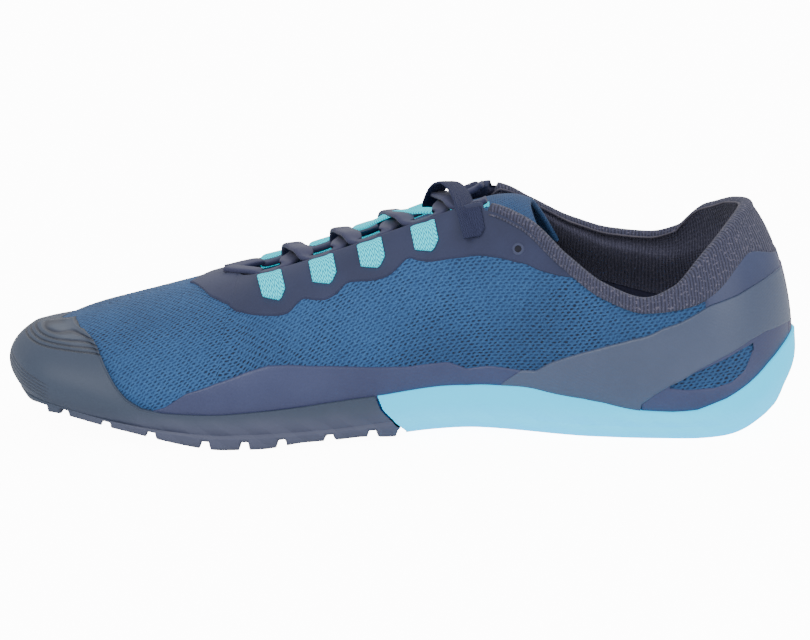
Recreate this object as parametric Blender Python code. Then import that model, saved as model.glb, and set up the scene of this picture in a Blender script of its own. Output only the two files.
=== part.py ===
"""Barefoot shoe for the right foot, standing empty on its sole.

The toe points to -X, the inner (medial) side faces -Y and the ground is z = 0.
One form function, worked out from the sections of the last, gives the upper,
the cuff, the overlays, the tongue, the sole cup and the toe cap.
"""
import math

import bmesh
import bpy
from mathutils import Vector

MM = 0.001

# Driving dimensions
LENGTH = 0.2565
BALL_WIDTH = 0.094
INSTEP_HEIGHT = 0.0755
HEEL_HEIGHT = 0.072

# Walls and fits
UPPER_WALL = 1.6 * MM
FIT_GAP = 0.3 * MM
FILM_GAP = 0.45 * MM
FILM_WALL = 0.7 * MM

# Sole
FLOOR_THICKNESS = 3.0 * MM
LUG_DEPTH = 2.4 * MM
CUP_EDGE = 1.2 * MM
CUP_WALL = 2.3 * MM
BASE_FLARE = 3.4 * MM
EDGE_ROLL = 2.0 * MM
RIM_ROLL = 3.6 * MM
RIM_WIDTH = 6.0 * MM
TOE_SPRING = 11.5 * MM
ARCH_LIFT = 2.2 * MM
RIB_DEPTH = 0.45 * MM
RIB_FADE = (2.6, 3.8)
LOW_RIBS = (0.15, 0.30)
HIGH_RIBS = (0.45, 0.55)
INSOLE_THICKNESS = 2.6 * MM
INSOLE_MARGIN = 0.6 * MM

# Cuff and tongue
CUFF_THICKNESS = 4.6 * MM
CUFF_PUFF = 0.5 * MM
CUFF_LEVELS = 3
CUFF_ARC = (45, 90, 135)
TONGUE_THICKNESS = 2.2 * MM

# Lacing
LOOP_WIDTH = 7.6 * MM
LOOP_WALL = 1.0 * MM
LACE_WIDTH = 3.4 * MM
LACE_THICKNESS = 1.3 * MM

# Sections of the last from the toe tip round to the heel, on both sides.
# foot_x is a share of the length; medial and lateral are the feather edge, as
# shares of the ball width; cup_m and cup_l are the top of the sole's side wall,
# as shares of the height; steps counts the stations up to the next section.
FEET = (
    # name, steps, foot_x, medial, lateral, cup_m, cup_l
    ("toe tip", 2, 0.020, -0.106, -0.106, 0.431, 0.431),
    ("big toe", 2, 0.033, -0.255, 0.064, 0.427, 0.427),
    ("toe corner", 2, 0.059, -0.335, 0.181, 0.413, 0.413),
    ("cap side", 2, 0.098, -0.378, 0.287, 0.390, 0.390),
    ("cap rear", 1, 0.129, -0.401, 0.340, 0.300, 0.300),
    ("toes", 2, 0.164, -0.420, 0.388, 0.187, 0.187),
    ("vamp", 2, 0.215, -0.438, 0.436, 0.157, 0.155),
    ("ball", 1, 0.273, -0.447, 0.473, 0.167, 0.158),
    ("throat front", 1, 0.305, -0.441, 0.489, 0.177, 0.160),
    ("throat corner", 2, 0.336, -0.431, 0.495, 0.189, 0.162),
    ("lower lacing", 2, 0.383, -0.404, 0.495, 0.203, 0.165),
    ("upper lacing", 2, 0.453, -0.346, 0.473, 0.204, 0.165),
    ("waist", 2, 0.539, -0.287, 0.431, 0.241, 0.160),
    ("collar corner", 2, 0.605, -0.266, 0.394, 0.245, 0.155),
    ("collar slope", 2, 0.652, -0.268, 0.372, 0.233, 0.150),
    ("collar fall", 2, 0.703, -0.277, 0.356, 0.210, 0.147),
    ("ankle front", 2, 0.754, -0.293, 0.344, 0.178, 0.147),
    ("ankle", 2, 0.805, -0.304, 0.333, 0.153, 0.147),
    ("ankle back", 2, 0.855, -0.306, 0.319, 0.146, 0.150),
    ("heel side", 2, 0.906, -0.287, 0.293, 0.194, 0.194),
    ("heel corner", 2, 0.949, -0.202, 0.207, 0.306, 0.306),
    ("heel back", 0, 0.977, 0.000, 0.000, 0.442, 0.442),
)

# The top edge of each section: the ridge of the vamp, then the throat's edge,
# then the rim of the cuff. high_m and high_l are shares of the height, cuff_m
# and cuff_l the depth of the cuff below its rim.
TOPS = (
    # top_x, medial, lateral, high_m, high_l, cuff_m, cuff_l
    (0.121, 0.000, 0.000, 0.469, 0.469, 0.000, 0.000),
    (0.121, 0.000, 0.000, 0.469, 0.469, 0.000, 0.000),
    (0.121, 0.000, 0.000, 0.469, 0.469, 0.000, 0.000),
    (0.129, 0.000, 0.000, 0.477, 0.477, 0.000, 0.000),
    (0.146, 0.000, 0.000, 0.493, 0.493, 0.000, 0.000),
    (0.176, 0.000, 0.000, 0.520, 0.520, 0.000, 0.000),
    (0.227, 0.000, 0.000, 0.567, 0.567, 0.000, 0.000),
    (0.291, 0.000, 0.000, 0.627, 0.627, 0.000, 0.000),
    (0.296, -0.064, 0.085, 0.627, 0.621, 0.000, 0.000),
    (0.316, -0.112, 0.133, 0.643, 0.627, 0.000, 0.000),
    (0.379, -0.138, 0.160, 0.711, 0.680, 0.000, 0.000),
    (0.453, -0.154, 0.176, 0.804, 0.764, 0.000, 0.000),
    (0.539, -0.181, 0.191, 0.920, 0.873, 0.000, 0.000),
    (0.609, -0.202, 0.207, 1.000, 0.960, 0.033, 0.033),
    (0.656, -0.239, 0.255, 0.959, 0.886, 0.040, 0.040),
    (0.707, -0.298, 0.303, 0.830, 0.783, 0.047, 0.047),
    (0.758, -0.327, 0.327, 0.715, 0.721, 0.055, 0.060),
    (0.809, -0.330, 0.330, 0.656, 0.711, 0.055, 0.083),
    (0.850, -0.314, 0.314, 0.708, 0.750, 0.094, 0.125),
    (0.891, -0.250, 0.234, 0.847, 0.896, 0.171, 0.208),
    (0.922, -0.144, 0.128, 0.949, 0.969, 0.146, 0.167),
    (0.9375, 0.000, 0.000, 1.000, 1.000, 0.243, 0.243),
)

# How each wall swells between its two ends: flare and reach are shares of the
# ball width, rise and drop shares of the height. film is the height of the
# side overlay and heel counter, stay the width of the eyestay.
WALLS = (
    # flare, rise, reach, drop, film, stay
    (0.069, 0.060, 0.282, 0.000, 0.000, 0.000),
    (0.064, 0.073, 0.255, 0.000, 0.000, 0.000),
    (0.064, 0.093, 0.255, 0.000, 0.000, 0.000),
    (0.064, 0.113, 0.266, 0.000, 0.000, 0.000),
    (0.064, 0.133, 0.271, 0.000, 0.000, 0.000),
    (0.064, 0.160, 0.277, 0.000, 0.187, 0.000),
    (0.064, 0.200, 0.287, 0.000, 0.222, 0.030),
    (0.059, 0.240, 0.298, 0.000, 0.325, 0.255),
    (0.056, 0.253, 0.245, 0.024, 0.363, 0.205),
    (0.053, 0.267, 0.213, 0.043, 0.384, 0.213),
    (0.048, 0.287, 0.186, 0.064, 0.380, 0.186),
    (0.043, 0.333, 0.165, 0.093, 0.346, 0.165),
    (0.048, 0.373, 0.133, 0.140, 0.356, 0.154),
    (0.064, 0.400, 0.101, 0.200, 0.327, 0.175),
    (0.074, 0.373, 0.074, 0.227, 0.298, 0.145),
    (0.080, 0.293, 0.037, 0.213, 0.370, 0.060),
    (0.074, 0.240, 0.021, 0.180, 0.440, 0.000),
    (0.069, 0.207, 0.016, 0.160, 0.500, 0.000),
    (0.069, 0.220, 0.027, 0.187, 0.565, 0.000),
    (0.074, 0.267, 0.064, 0.240, 0.650, 0.000),
    (0.085, 0.267, 0.085, 0.213, 0.780, 0.000),
    (0.096, 0.267, 0.112, 0.167, 0.745, 0.000),
)

POLE = 2
THROAT = 7
CORNER = 13
HEEL = len(FEET) - 1
POLE_SLOPE = 0.26
SPINE_Y = 0.011
AXIS_Y = -0.024
HEEL_CENTRE = 0.867
HEEL_BLEND = (0.60, 0.85)
SPRING_START = 0.285
SPRING_POWER = 1.5
ARCH_SPAN = (0.42, 0.74)
ARCH_REACH = (-0.1, 0.3)

CUP_LEVELS = 4
CAP_LEVELS = 8
SIDE_LEVELS = 5
WALL_LEVELS = 5

SPLIT = ((0.473, 0.60), (0.473, 0.21), (0.481, 0.14), (0.494, 0.085), (0.508, 0.035), (0.509, -0.20))
EDGE_LUGS = (0.057, 0.084, 0.137, 0.195, 0.263, 0.312, 0.358, 0.417, 0.470, 0.506)

WINDOW = ((0.838, 0.235), (0.872, 0.225), (0.905, 0.238), (0.930, 0.300), (0.940, 0.415),
          (0.925, 0.425), (0.890, 0.370), (0.855, 0.300))
LUG_SLOT = 2.2 * MM
LUG_ROOT = 1.0 * MM
LUG_MARGIN = 0.6 * MM
FRONT_LUG_WIDTH = 11.0 * MM
REAR_EDGE_WIDTH = 9.0 * MM
LUG_NOSE = 1.6 * MM
INNER_FIELDS = (
    # first, last, rows, width of the edge beside them
    (0.120, 0.470, 6, FRONT_LUG_WIDTH),
    (0.722, 0.918, 4, REAR_EDGE_WIDTH),
)
CUP_CLEARANCE = 1.0 * MM
FILM_START = 5.4
WING_START = 14.0
WING_GAP = 0.03
STAY_START = 6.2
STAY_END = 15.1
STAY_EDGE = 0.018

KNIT = (0.03, 0.12, 0.28)
DARK_RUBBER = (0.10, 0.12, 0.17)
BRIGHT_RUBBER = (0.25, 0.70, 0.90)
OVERLAY = (0.07, 0.08, 0.16)
FACING = (0.05, 0.055, 0.11)
FOOTBED = (0.02, 0.02, 0.03)
CUFF_KNIT = (0.07, 0.07, 0.12)
TONGUE_MESH = (0.10, 0.22, 0.38)
LACE = (0.06, 0.05, 0.09)
WEBBING = (0.06, 0.65, 0.75)

# Where the five rows of lace loops sit, as shares of the length
LOOP_ROWS = (
    # medial, lateral
    (0.334, 0.330),
    (0.397, 0.390),
    (0.459, 0.451),
    (0.523, 0.513),
    (0.586, 0.577),
)
LOOP_PATH = (
    # out, height
    (1.00, 0.44),
    (0.53, 0.45),
    (0.27, 0.58),
    (0.13, 0.89),
    (-0.21, 1.00),
    (-0.51, 0.93),
    (-0.63, 0.58),
    (-0.53, 0.22),
    (-0.32, 0.13),
    (-0.08, 0.12),
)
LOOP_LENGTH = 9.5 * MM
LOOP_HEIGHT = 4.5 * MM
LACE_OUT = -2.2 * MM
LACE_HEIGHT = 2.2 * MM
LACE_PASS = 8.6 * MM
LACE_TURN = 6.9 * MM
LACE_END = 4.4 * MM
LACE_LIFT = 1.4 * MM
LACE_ARCH = 9.0 * MM

# The tongue: the section whose edges it hangs between, how far it is tucked
# below the edge, its distance inside the wall and the crown of its arch.
TONGUE = (
    # section, tuck, inset, crown_x, crown_z
    (8.4, 5.0 * MM, 0.7 * MM, 0.308, 0.596),
    (9.0, 6.0 * MM, 0.7 * MM, 0.325, 0.608),
    (10.0, 7.0 * MM, 0.7 * MM, 0.385, 0.668),
    (11.0, 7.0 * MM, 0.7 * MM, 0.458, 0.760),
    (12.0, 7.0 * MM, 0.7 * MM, 0.541, 0.878),
    (12.9, 8.0 * MM, 1.5 * MM, 0.600, 0.955),
    (13.4, 9.5 * MM, 4.0 * MM, 0.624, 0.985),
    (14.0, 11.5 * MM, 4.2 * MM, 0.643, 0.997),
    (14.5, 12.5 * MM, 4.4 * MM, 0.655, 0.995),
)
TONGUE_STEPS = 5
STRIP_REACH = 0.45

MEDIAL = -1
LATERAL = 1


def smooth(value, low, high):
    share = min(1.0, max(0.0, (value - low) / (high - low)))
    return share * share * (3.0 - 2.0 * share)


def slopes(values):
    """Slopes of a curve through evenly spaced values that never overshoots."""
    steps = [b - a for a, b in zip(values, values[1:])]
    inner = []
    for before, after in zip(steps, steps[1:]):
        if before * after <= 0.0:
            inner.append(0.0)
        else:
            inner.append(2.0 * before * after / (before + after))
    return inner


def column_curve(values, mirrored):
    """A curve along one column of a table, from the toe tip to the heel back.

    mirrored holds the other side's values, which carry the curve smoothly over
    the toe tip and the heel back.
    """
    padded = [mirrored[1]] + list(values) + [mirrored[-2]]
    tangent = slopes(padded)

    def value_at(s):
        k = min(len(values) - 2, max(0, int(s)))
        t = s - k
        a, b = values[k], values[k + 1]
        ta, tb = tangent[k], tangent[k + 1]
        return (a * (2 * t ** 3 - 3 * t ** 2 + 1) + ta * (t ** 3 - 2 * t ** 2 + t)
                + b * (3 * t ** 2 - 2 * t ** 3) + tb * (t ** 3 - t ** 2))

    return value_at


def pick(table, index):
    return [row[index] for row in table]


def side_curves(table, medial_index, lateral_index):
    medial = pick(table, medial_index)
    lateral = pick(table, lateral_index)
    return {MEDIAL: column_curve(medial, lateral), LATERAL: column_curve(lateral, medial)}


FOOT_X = side_curves(FEET, 2, 2)
FOOT_Y = side_curves(FEET, 3, 4)
CUP = side_curves(FEET, 5, 6)
TOP_X = side_curves(TOPS, 0, 0)
TOP_Y = side_curves(TOPS, 1, 2)
TOP_Z = side_curves(TOPS, 3, 4)
CUFF = side_curves(TOPS, 5, 6)
FLARE = side_curves(WALLS, 0, 0)
RISE = side_curves(WALLS, 1, 1)
REACH = side_curves(WALLS, 2, 2)
DROP = side_curves(WALLS, 3, 3)
FILM = side_curves(WALLS, 4, 4)
STAY = side_curves(WALLS, 5, 5)


def along(share):
    """The x of a share of the length, with the toe tip at 0."""
    return (share - 0.5) * LENGTH


def across(share):
    """The y of a share of the ball width, on the axis of the last at 0."""
    return (share + AXIS_Y) * BALL_WIDTH


def height_scale(share):
    blend = smooth(share, *HEEL_BLEND)
    return INSTEP_HEIGHT + (HEEL_HEIGHT - INSTEP_HEIGHT) * blend


def underside(x, y):
    """The height of the tread: toe spring and a lift under the arch."""
    share = x / LENGTH + 0.5
    spring = 0.0
    if share < SPRING_START:
        spring = TOE_SPRING * ((SPRING_START - share) / SPRING_START) ** SPRING_POWER
    middle = 0.5 * (ARCH_SPAN[0] + ARCH_SPAN[1])
    lift = smooth(share, ARCH_SPAN[0], middle) * (1.0 - smooth(share, middle, ARCH_SPAN[1]))
    inward = smooth(-y / BALL_WIDTH, *ARCH_REACH)
    return spring + ARCH_LIFT * lift * inward


def spine(side, s):
    """The point of the sole's middle line that belongs to a section."""
    share = min(HEEL_CENTRE, max(TOPS[0][0], FOOT_X[side](s)))
    return Vector((along(share), across(SPINE_Y), 0.0))


def outward(side, s):
    """The direction in plan from the middle line to the feather edge."""
    foot = Vector((along(FOOT_X[side](s)), across(FOOT_Y[side](s)), 0.0))
    return (foot - spine(side, s)).normalized()


def controls(side, s):
    """The four control points of one wall, from the feather edge to its top."""
    out = outward(side, s)
    foot_x = along(FOOT_X[side](s))
    foot_y = across(FOOT_Y[side](s))
    seat = LUG_DEPTH + FLOOR_THICKNESS + FIT_GAP
    foot = Vector((foot_x, foot_y, underside(foot_x, foot_y) + seat))
    top_side = MEDIAL if s <= THROAT else side
    top_share = TOP_X[top_side](s)
    scale = height_scale(top_share)
    top = Vector((along(top_share), across(TOP_Y[top_side](s)), TOP_Z[top_side](s) * scale))
    flare = FLARE[side](s) * BALL_WIDTH
    rise = RISE[side](s) * scale
    low = foot + out * flare + Vector((0.0, 0.0, rise))
    reach = out * REACH[side](s) * BALL_WIDTH
    slope = POLE_SLOPE * min(0.0, reach.x) if s < THROAT else 0.0
    high = top + reach + Vector((0.0, 0.0, slope - DROP[side](s) * scale))
    return foot, low, high, top


def form(side, s, t):
    """A point of the upper's outer face: section s, share t of the way up."""
    foot, low, high, top = controls(side, s)
    r = 1.0 - t
    return foot * r ** 3 + low * (3 * r * r * t) + high * (3 * r * t * t) + top * t ** 3


def ring_neighbours(side, s, step):
    """Two places just before and after a section, in the ring's own order."""
    forward = step if side == MEDIAL else -step
    return wrapped(side, s - forward), wrapped(side, s + forward)


def wrapped(side, s):
    if s < 0.0:
        return -side, -s
    if s > HEEL:
        return -side, 2 * HEEL - s
    return side, s


def normal(side, s, t):
    """The outward normal of the form."""
    before, after = ring_neighbours(side, s, 0.05)
    ring = form(*after, t) - form(*before, t)
    up = form(side, s, min(1.0, t + 0.01)) - form(side, s, max(0.0, t - 0.01))
    return ring.cross(up).normalized()


def at_height(side, s, height):
    """The share of the wall at which it reaches a height."""
    low, high = 0.0, 1.0
    if form(side, s, 1.0).z <= height:
        return 1.0
    for _ in range(30):
        middle = 0.5 * (low + high)
        if form(side, s, middle).z < height:
            low = middle
        else:
            high = middle
    return low


def at_distance(side, s, distance):
    """The share of the wall that lies a distance below its top edge."""
    samples = 60
    walked = 0.0
    last = form(side, s, 1.0)
    for i in range(1, samples + 1):
        t = 1.0 - i / samples
        here = form(side, s, t)
        step = (here - last).length
        if walked + step >= distance:
            return t + (walked + step - distance) / step / samples
        walked += step
        last = here
    return 0.0


def has_cuff(s):
    return s >= CORNER - 1e-6


def top_share(side, s):
    """Where the upper's own wall ends: under the cuff, or at the form's top."""
    if not has_cuff(s):
        return 1.0
    scale = height_scale(TOP_X[side](s))
    rim = form(side, s, 1.0).z
    return at_height(side, s, rim - CUFF[side](s) * scale)


def stations():
    """The sections at which solids are built, from the toe tip to the heel."""
    places = []
    for k, row in enumerate(FEET[:-1]):
        for step in range(row[1]):
            places.append(k + step / row[1])
    places.append(float(HEEL))
    return places


STATIONS = stations()


def ring(places):
    """The places of one round: the medial side to the heel, and back."""
    medial = [(MEDIAL, s) for s in places]
    lateral = [(LATERAL, s) for s in reversed(places[1:-1])]
    return medial + lateral


RING = ring(STATIONS)


class Skin:
    """Points and faces of one closed surface, joined where points coincide."""

    def __init__(self):
        self.points = []
        self.faces = []
        self.known = {}

    def point(self, position):
        key = tuple(round(c * 1e7) for c in position)
        if key not in self.known:
            self.known[key] = len(self.points)
            self.points.append(tuple(position))
        return self.known[key]

    def row(self, positions):
        return [self.point(p) for p in positions]

    def face(self, corners):
        kept = []
        for corner in corners:
            if corner not in kept:
                kept.append(corner)
        if len(kept) > 2:
            self.faces.append(kept)

    def bridge(self, lower, upper, closed, skip=()):
        count = len(lower)
        for k in range(count if closed else count - 1):
            if k in skip:
                continue
            n = (k + 1) % count
            self.face((lower[k], lower[n], upper[n], upper[k]))


def material(name, colour, roughness):
    shade = bpy.data.materials.new(name)
    shade.use_nodes = True
    shader = shade.node_tree.nodes["Principled BSDF"]
    shader.inputs["Base Color"].default_value = (*colour, 1.0)
    shader.inputs["Roughness"].default_value = roughness
    shade.diffuse_color = (*colour, 1.0)
    return shade


def add_object(name, points, faces, colour, roughness):
    mesh = bpy.data.meshes.new(name)
    mesh.from_pydata(points, [], faces)
    shape = bmesh.new()
    shape.from_mesh(mesh)
    bmesh.ops.triangulate(shape, faces=shape.faces[:])
    shape.to_mesh(mesh)
    shape.free()
    mesh.shade_smooth()
    mesh.set_sharp_from_angle(angle=math.radians(40))
    piece = bpy.data.objects.new(name, mesh)
    bpy.context.collection.objects.link(piece)
    mesh.materials.append(material(name, colour, roughness))
    return piece


def add_skin(name, skin, colour, roughness):
    return add_object(name, skin.points, skin.faces, colour, roughness)


def smooth_normals(rows):
    """Vertex normals of an open grid of ring rows that is zipped by position."""
    skin = Skin()
    indices = [skin.row(row) for row in rows]
    for lower, upper in zip(indices, indices[1:]):
        skin.bridge(lower, upper, True)
    sums = [Vector() for _ in skin.points]
    for face in skin.faces:
        corners = [Vector(skin.points[i]) for i in face]
        flat = Vector()
        for a, b in zip(corners[1:], corners[2:]):
            flat += (a - corners[0]).cross(b - corners[0])
        for i in face:
            sums[i] += flat
    return [[sums[i].normalized() for i in row] for row in indices]


def cup_share(side, s):
    """How far up the wall the sole's cup reaches."""
    return at_height(side, s, CUP[side](s) * height_scale(FOOT_X[side](s)))


def build_upper():
    """One hollow wall: open at the collar, at the throat and underneath.

    Its lowest rows lie on the same lines as the inside of the sole's cup.
    """
    skin = Skin()
    outer = []
    for level in range(CUP_LEVELS + WALL_LEVELS + 1):
        row = []
        for side, s in RING:
            cup = cup_share(side, s)
            share = min(1.0, level / CUP_LEVELS)
            above = max(0, level - CUP_LEVELS) / WALL_LEVELS
            row.append(form(side, s, cup * share * (1.0 - above) + top_share(side, s) * above))
        outer.append(row)
    normals = smooth_normals(outer)
    inner = [[p - n * UPPER_WALL for p, n in zip(*pair)] for pair in zip(outer, normals)]
    on_ridge = {k for k, (side, s) in enumerate(RING)
                if s <= THROAT and RING[(k + 1) % len(RING)][1] <= THROAT}
    outer_rows = [skin.row(row) for row in outer]
    inner_rows = [skin.row(row) for row in inner]
    for lower, upper in zip(outer_rows, outer_rows[1:]):
        skin.bridge(lower, upper, True)
    skin.bridge(outer_rows[-1], inner_rows[-1], True, skip=on_ridge)
    for upper, lower in zip(inner_rows[:0:-1], inner_rows[-2::-1]):
        skin.bridge(upper, lower, True)
    skin.bridge(inner_rows[0], outer_rows[0], True)
    return add_skin("upper", skin, KNIT, 0.85)


def underside_of(position):
    return underside(position.x, position.y)


def at_level(position, height):
    """The same place in plan, at a height above the tread."""
    return Vector((position.x, position.y, underside_of(position) + height))


def rib_relief(s, level, levels):
    """Moulded ribs round the toe: every second row of the cap is sunk."""
    share = level / levels
    on_cap = 1.0 - smooth(s, *RIB_FADE)
    in_band = max(smooth(share, *HIGH_RIBS), 1.0 - smooth(share, *LOW_RIBS))
    return RIB_DEPTH * on_cap * in_band * (level % 2)


def sole_rows(places, outer_levels, rim):
    """The rows of a whole sole: floor, inside of the cup, outside, bottom.

    With a rim, its edge stands on the ground all round and the tread is sunk.
    """
    floor = LUG_DEPTH + FLOOR_THICKNESS
    spines, feet, cups, outs = [], [], [], []
    for side, s in places:
        spines.append(spine(side, s))
        feet.append(form(side, s, 0.0))
        cups.append(cup_share(side, s))
        outs.append(outward(side, s))
    count = range(len(places))

    def skin_row(share, offset):
        return [form(*places[k], share * cups[k]) + normal(*places[k], share * cups[k]) * offset
                for k in count]

    def flat_row(reach, height):
        return [at_level(feet[k] + outs[k] * reach, height) for k in count]

    rows = [[at_level(spines[k], floor) for k in count]]
    rows.append([at_level(spines[k].lerp(feet[k], 0.5), floor) for k in count])
    rows.append(flat_row(FIT_GAP, floor))
    for level in range(1, CUP_LEVELS + 1):
        rows.append(skin_row(level / CUP_LEVELS, FIT_GAP))
    for level in range(outer_levels, 0, -1):
        share = level / outer_levels
        wall = CUP_EDGE + (CUP_WALL - CUP_EDGE) * smooth(1.0 - share, 0.0, 0.7)
        row = []
        for k in count:
            side, s = places[k]
            t = share * cups[k]
            depth = FIT_GAP + wall - rib_relief(s, level, outer_levels)
            row.append(form(side, s, t) + normal(side, s, t) * depth)
        rows.append(row)
    rows.append(flat_row(BASE_FLARE, LUG_DEPTH + EDGE_ROLL))
    if rim:
        inside = BASE_FLARE - RIM_ROLL - RIM_WIDTH
        rows.append(flat_row(BASE_FLARE - 0.3 * RIM_ROLL, 0.5 * LUG_DEPTH))
        rows.append(flat_row(BASE_FLARE - RIM_ROLL, 0.0))
        rows.append(flat_row(inside, 0.0))
        rows.append(flat_row(inside - 0.5 * LUG_DEPTH, LUG_DEPTH))
    else:
        rows.append(flat_row(BASE_FLARE - 0.4 * EDGE_ROLL, LUG_DEPTH + 0.3 * EDGE_ROLL))
        rows.append(flat_row(BASE_FLARE - 1.4 * EDGE_ROLL, LUG_DEPTH))
    rows.append([at_level(spines[k].lerp(feet[k], 0.5), LUG_DEPTH) for k in count])
    rows.append([at_level(spines[k], LUG_DEPTH) for k in count])
    return rows


def foot_place(side, share):
    """The section whose feather edge lies at a share of the length."""
    low, high = 0.0, float(HEEL)
    for _ in range(30):
        middle = 0.5 * (low + high)
        if FOOT_X[side](middle) < share:
            low = middle
        else:
            high = middle
    return low


def lug(outline, height_inside):
    """A prism from inside the floor down to the ground, over a plan outline."""
    count = len(outline)
    upper = [at_level(p, LUG_DEPTH + height_inside) for p in outline]
    lower = [at_level(p, 0.0) for p in outline]
    faces = [list(range(count)), list(range(2 * count - 1, count - 1, -1))]
    for k in range(count):
        n = (k + 1) % count
        faces.append([k + count, n + count, n, k])
    return upper + lower, faces


def edge_lug(side, first, last):
    """A lug along the front sole's edge between two shares of the length."""
    gap = LUG_SLOT / LENGTH / 2
    outline_out = []
    outline_in = []
    for share in (first + gap, 0.5 * (first + last), last - gap):
        s = foot_place(side, share)
        foot = form(side, s, 0.0)
        out = outward(side, s)
        outline_out.append(foot + out * (BASE_FLARE - LUG_MARGIN))
        outline_in.append(foot + out * (BASE_FLARE - LUG_MARGIN - FRONT_LUG_WIDTH))
    outline = outline_out + outline_in[::-1]
    return outline if side == MEDIAL else outline[::-1]


def inner_lugs():
    """Rows of chevrons under the ball and the heel, between the edge lugs."""
    outlines = []
    for first, last, rows, edge_width in INNER_FIELDS:
        pitch = (last - first) / rows
        for row in range(rows):
            share = first + (row + 0.5) * pitch
            limits = []
            for side in (MEDIAL, LATERAL):
                near = min(abs(form(side, foot_place(side, share + shift), 0.0).y)
                           for shift in (-0.5 * pitch, 0.5 * pitch))
                limits.append(side * (near + BASE_FLARE - LUG_MARGIN - edge_width - LUG_SLOT))
            lane = (limits[1] - limits[0]) / 3
            half = 0.5 * (pitch * LENGTH - LUG_SLOT) - LUG_NOSE
            wide = 0.5 * (lane - LUG_SLOT)
            for k in range(3):
                x = along(share)
                y = limits[0] + (k + 0.5) * lane
                outlines.append([
                    Vector((x - half - LUG_NOSE, y, 0.0)),
                    Vector((x - half, y - wide, 0.0)),
                    Vector((x + half, y - wide, 0.0)),
                    Vector((x + half + LUG_NOSE, y, 0.0)),
                    Vector((x + half, y + wide, 0.0)),
                    Vector((x - half, y + wide, 0.0))])
    return outlines


def join_prisms(outlines):
    points, faces = [], []
    for outline in outlines:
        more_points, more_faces = lug(outline, LUG_ROOT)
        faces += [[i + len(points) for i in face] for face in more_faces]
        points += more_points
    return points, faces


def build_lugs(name, outlines):
    points, faces = join_prisms(outlines)
    return as_tool(add_object(name, points, faces, DARK_RUBBER, 0.7))


def as_tool(piece):
    piece.hide_render = True
    piece.display_type = "WIRE"
    return piece


def crossways_tool(name, outline):
    """A cutter with an outline in x and z that runs right across the shoe."""
    area = sum(a[0] * b[1] - b[0] * a[1] for a, b in zip(outline, outline[1:] + outline[:1]))
    if area < 0.0:
        outline = outline[::-1]
    half = BALL_WIDTH
    count = len(outline)
    points = [(x, -half, z) for x, z in outline] + [(x, half, z) for x, z in outline]
    faces = [list(range(count)), list(range(2 * count - 1, count - 1, -1))]
    for k in range(count):
        n = (k + 1) % count
        faces.append([k + count, n + count, n, k])
    return as_tool(add_object(name, points, faces, DARK_RUBBER, 0.7))


def split_block(name, shift):
    """Everything ahead of the curved joint between the two soles."""
    edge = [(along(x) + shift, z * INSTEP_HEIGHT) for x, z in SPLIT]
    return crossways_tool(name, edge + [(-LENGTH, edge[-1][1]), (-LENGTH, edge[0][1])])


def boolean(piece, operation, tool):
    modifier = piece.modifiers.new(operation.lower(), "BOOLEAN")
    modifier.operation = operation
    modifier.solver = "EXACT"
    modifier.object = tool


def whole_sole(name, places, outer_levels, rim, colour, roughness):
    skin = Skin()
    rows = [skin.row(row) for row in sole_rows(places, outer_levels, rim)]
    for lower, upper in zip(rows, rows[1:]):
        skin.bridge(upper, lower, True)
    return add_skin(name, skin, colour, roughness)


def build_soles():
    """The dark front sole with its toe cap, and the bright rear sole."""
    fields = inner_lugs()
    split = 0.5 * (SPLIT[0][0] + SPLIT[-2][0])
    front_fields = [f for f in fields if f[0].x < along(split)]
    rear_fields = [f for f in fields if f[0].x >= along(split)]
    front_places = ring([s for s in STATIONS if s < CORNER or s == int(s)])
    rear_places = ring([s for s in STATIONS if s > THROAT or s == int(s)])
    edge_lugs = [edge_lug(side, first, last) for first, last in zip(EDGE_LUGS, EDGE_LUGS[1:])
                 for side in (MEDIAL, LATERAL)]
    front = whole_sole("outsole_front", front_places, CAP_LEVELS, False, DARK_RUBBER, 0.7)
    rear = whole_sole("outsole_rear", rear_places, SIDE_LEVELS, True, BRIGHT_RUBBER, 0.55)
    boolean(front, "UNION", build_lugs("front_lugs", edge_lugs + front_fields))
    boolean(rear, "UNION", build_lugs("rear_lugs", rear_fields))
    boolean(front, "INTERSECT", split_block("front_block", -0.5 * FIT_GAP))
    boolean(rear, "DIFFERENCE", split_block("rear_block", 0.5 * FIT_GAP))
    return front, rear


def build_insole():
    """A thin footbed on the sole's floor, inside the upper."""
    skin = Skin()
    inset = UPPER_WALL + INSOLE_MARGIN
    low = LUG_DEPTH + FLOOR_THICKNESS + FIT_GAP
    high = low + INSOLE_THICKNESS
    places = ring(STATIONS[:-1:2] + STATIONS[-1:])
    edge = [form(side, s, 0.0) - outward(side, s) * inset for side, s in places]
    middle = [spine(side, s) for side, s in places]
    half = [a.lerp(b, 0.5) for a, b in zip(middle, edge)]
    rows = [skin.row([at_level(p, level) for p in row])
            for row, level in ((middle, low), (half, low), (edge, low), (edge, high),
                               (half, high), (middle, high))]
    for lower, upper in zip(rows, rows[1:]):
        skin.bridge(lower, upper, True)
    return add_skin("insole", skin, FOOTBED, 0.9)


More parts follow.
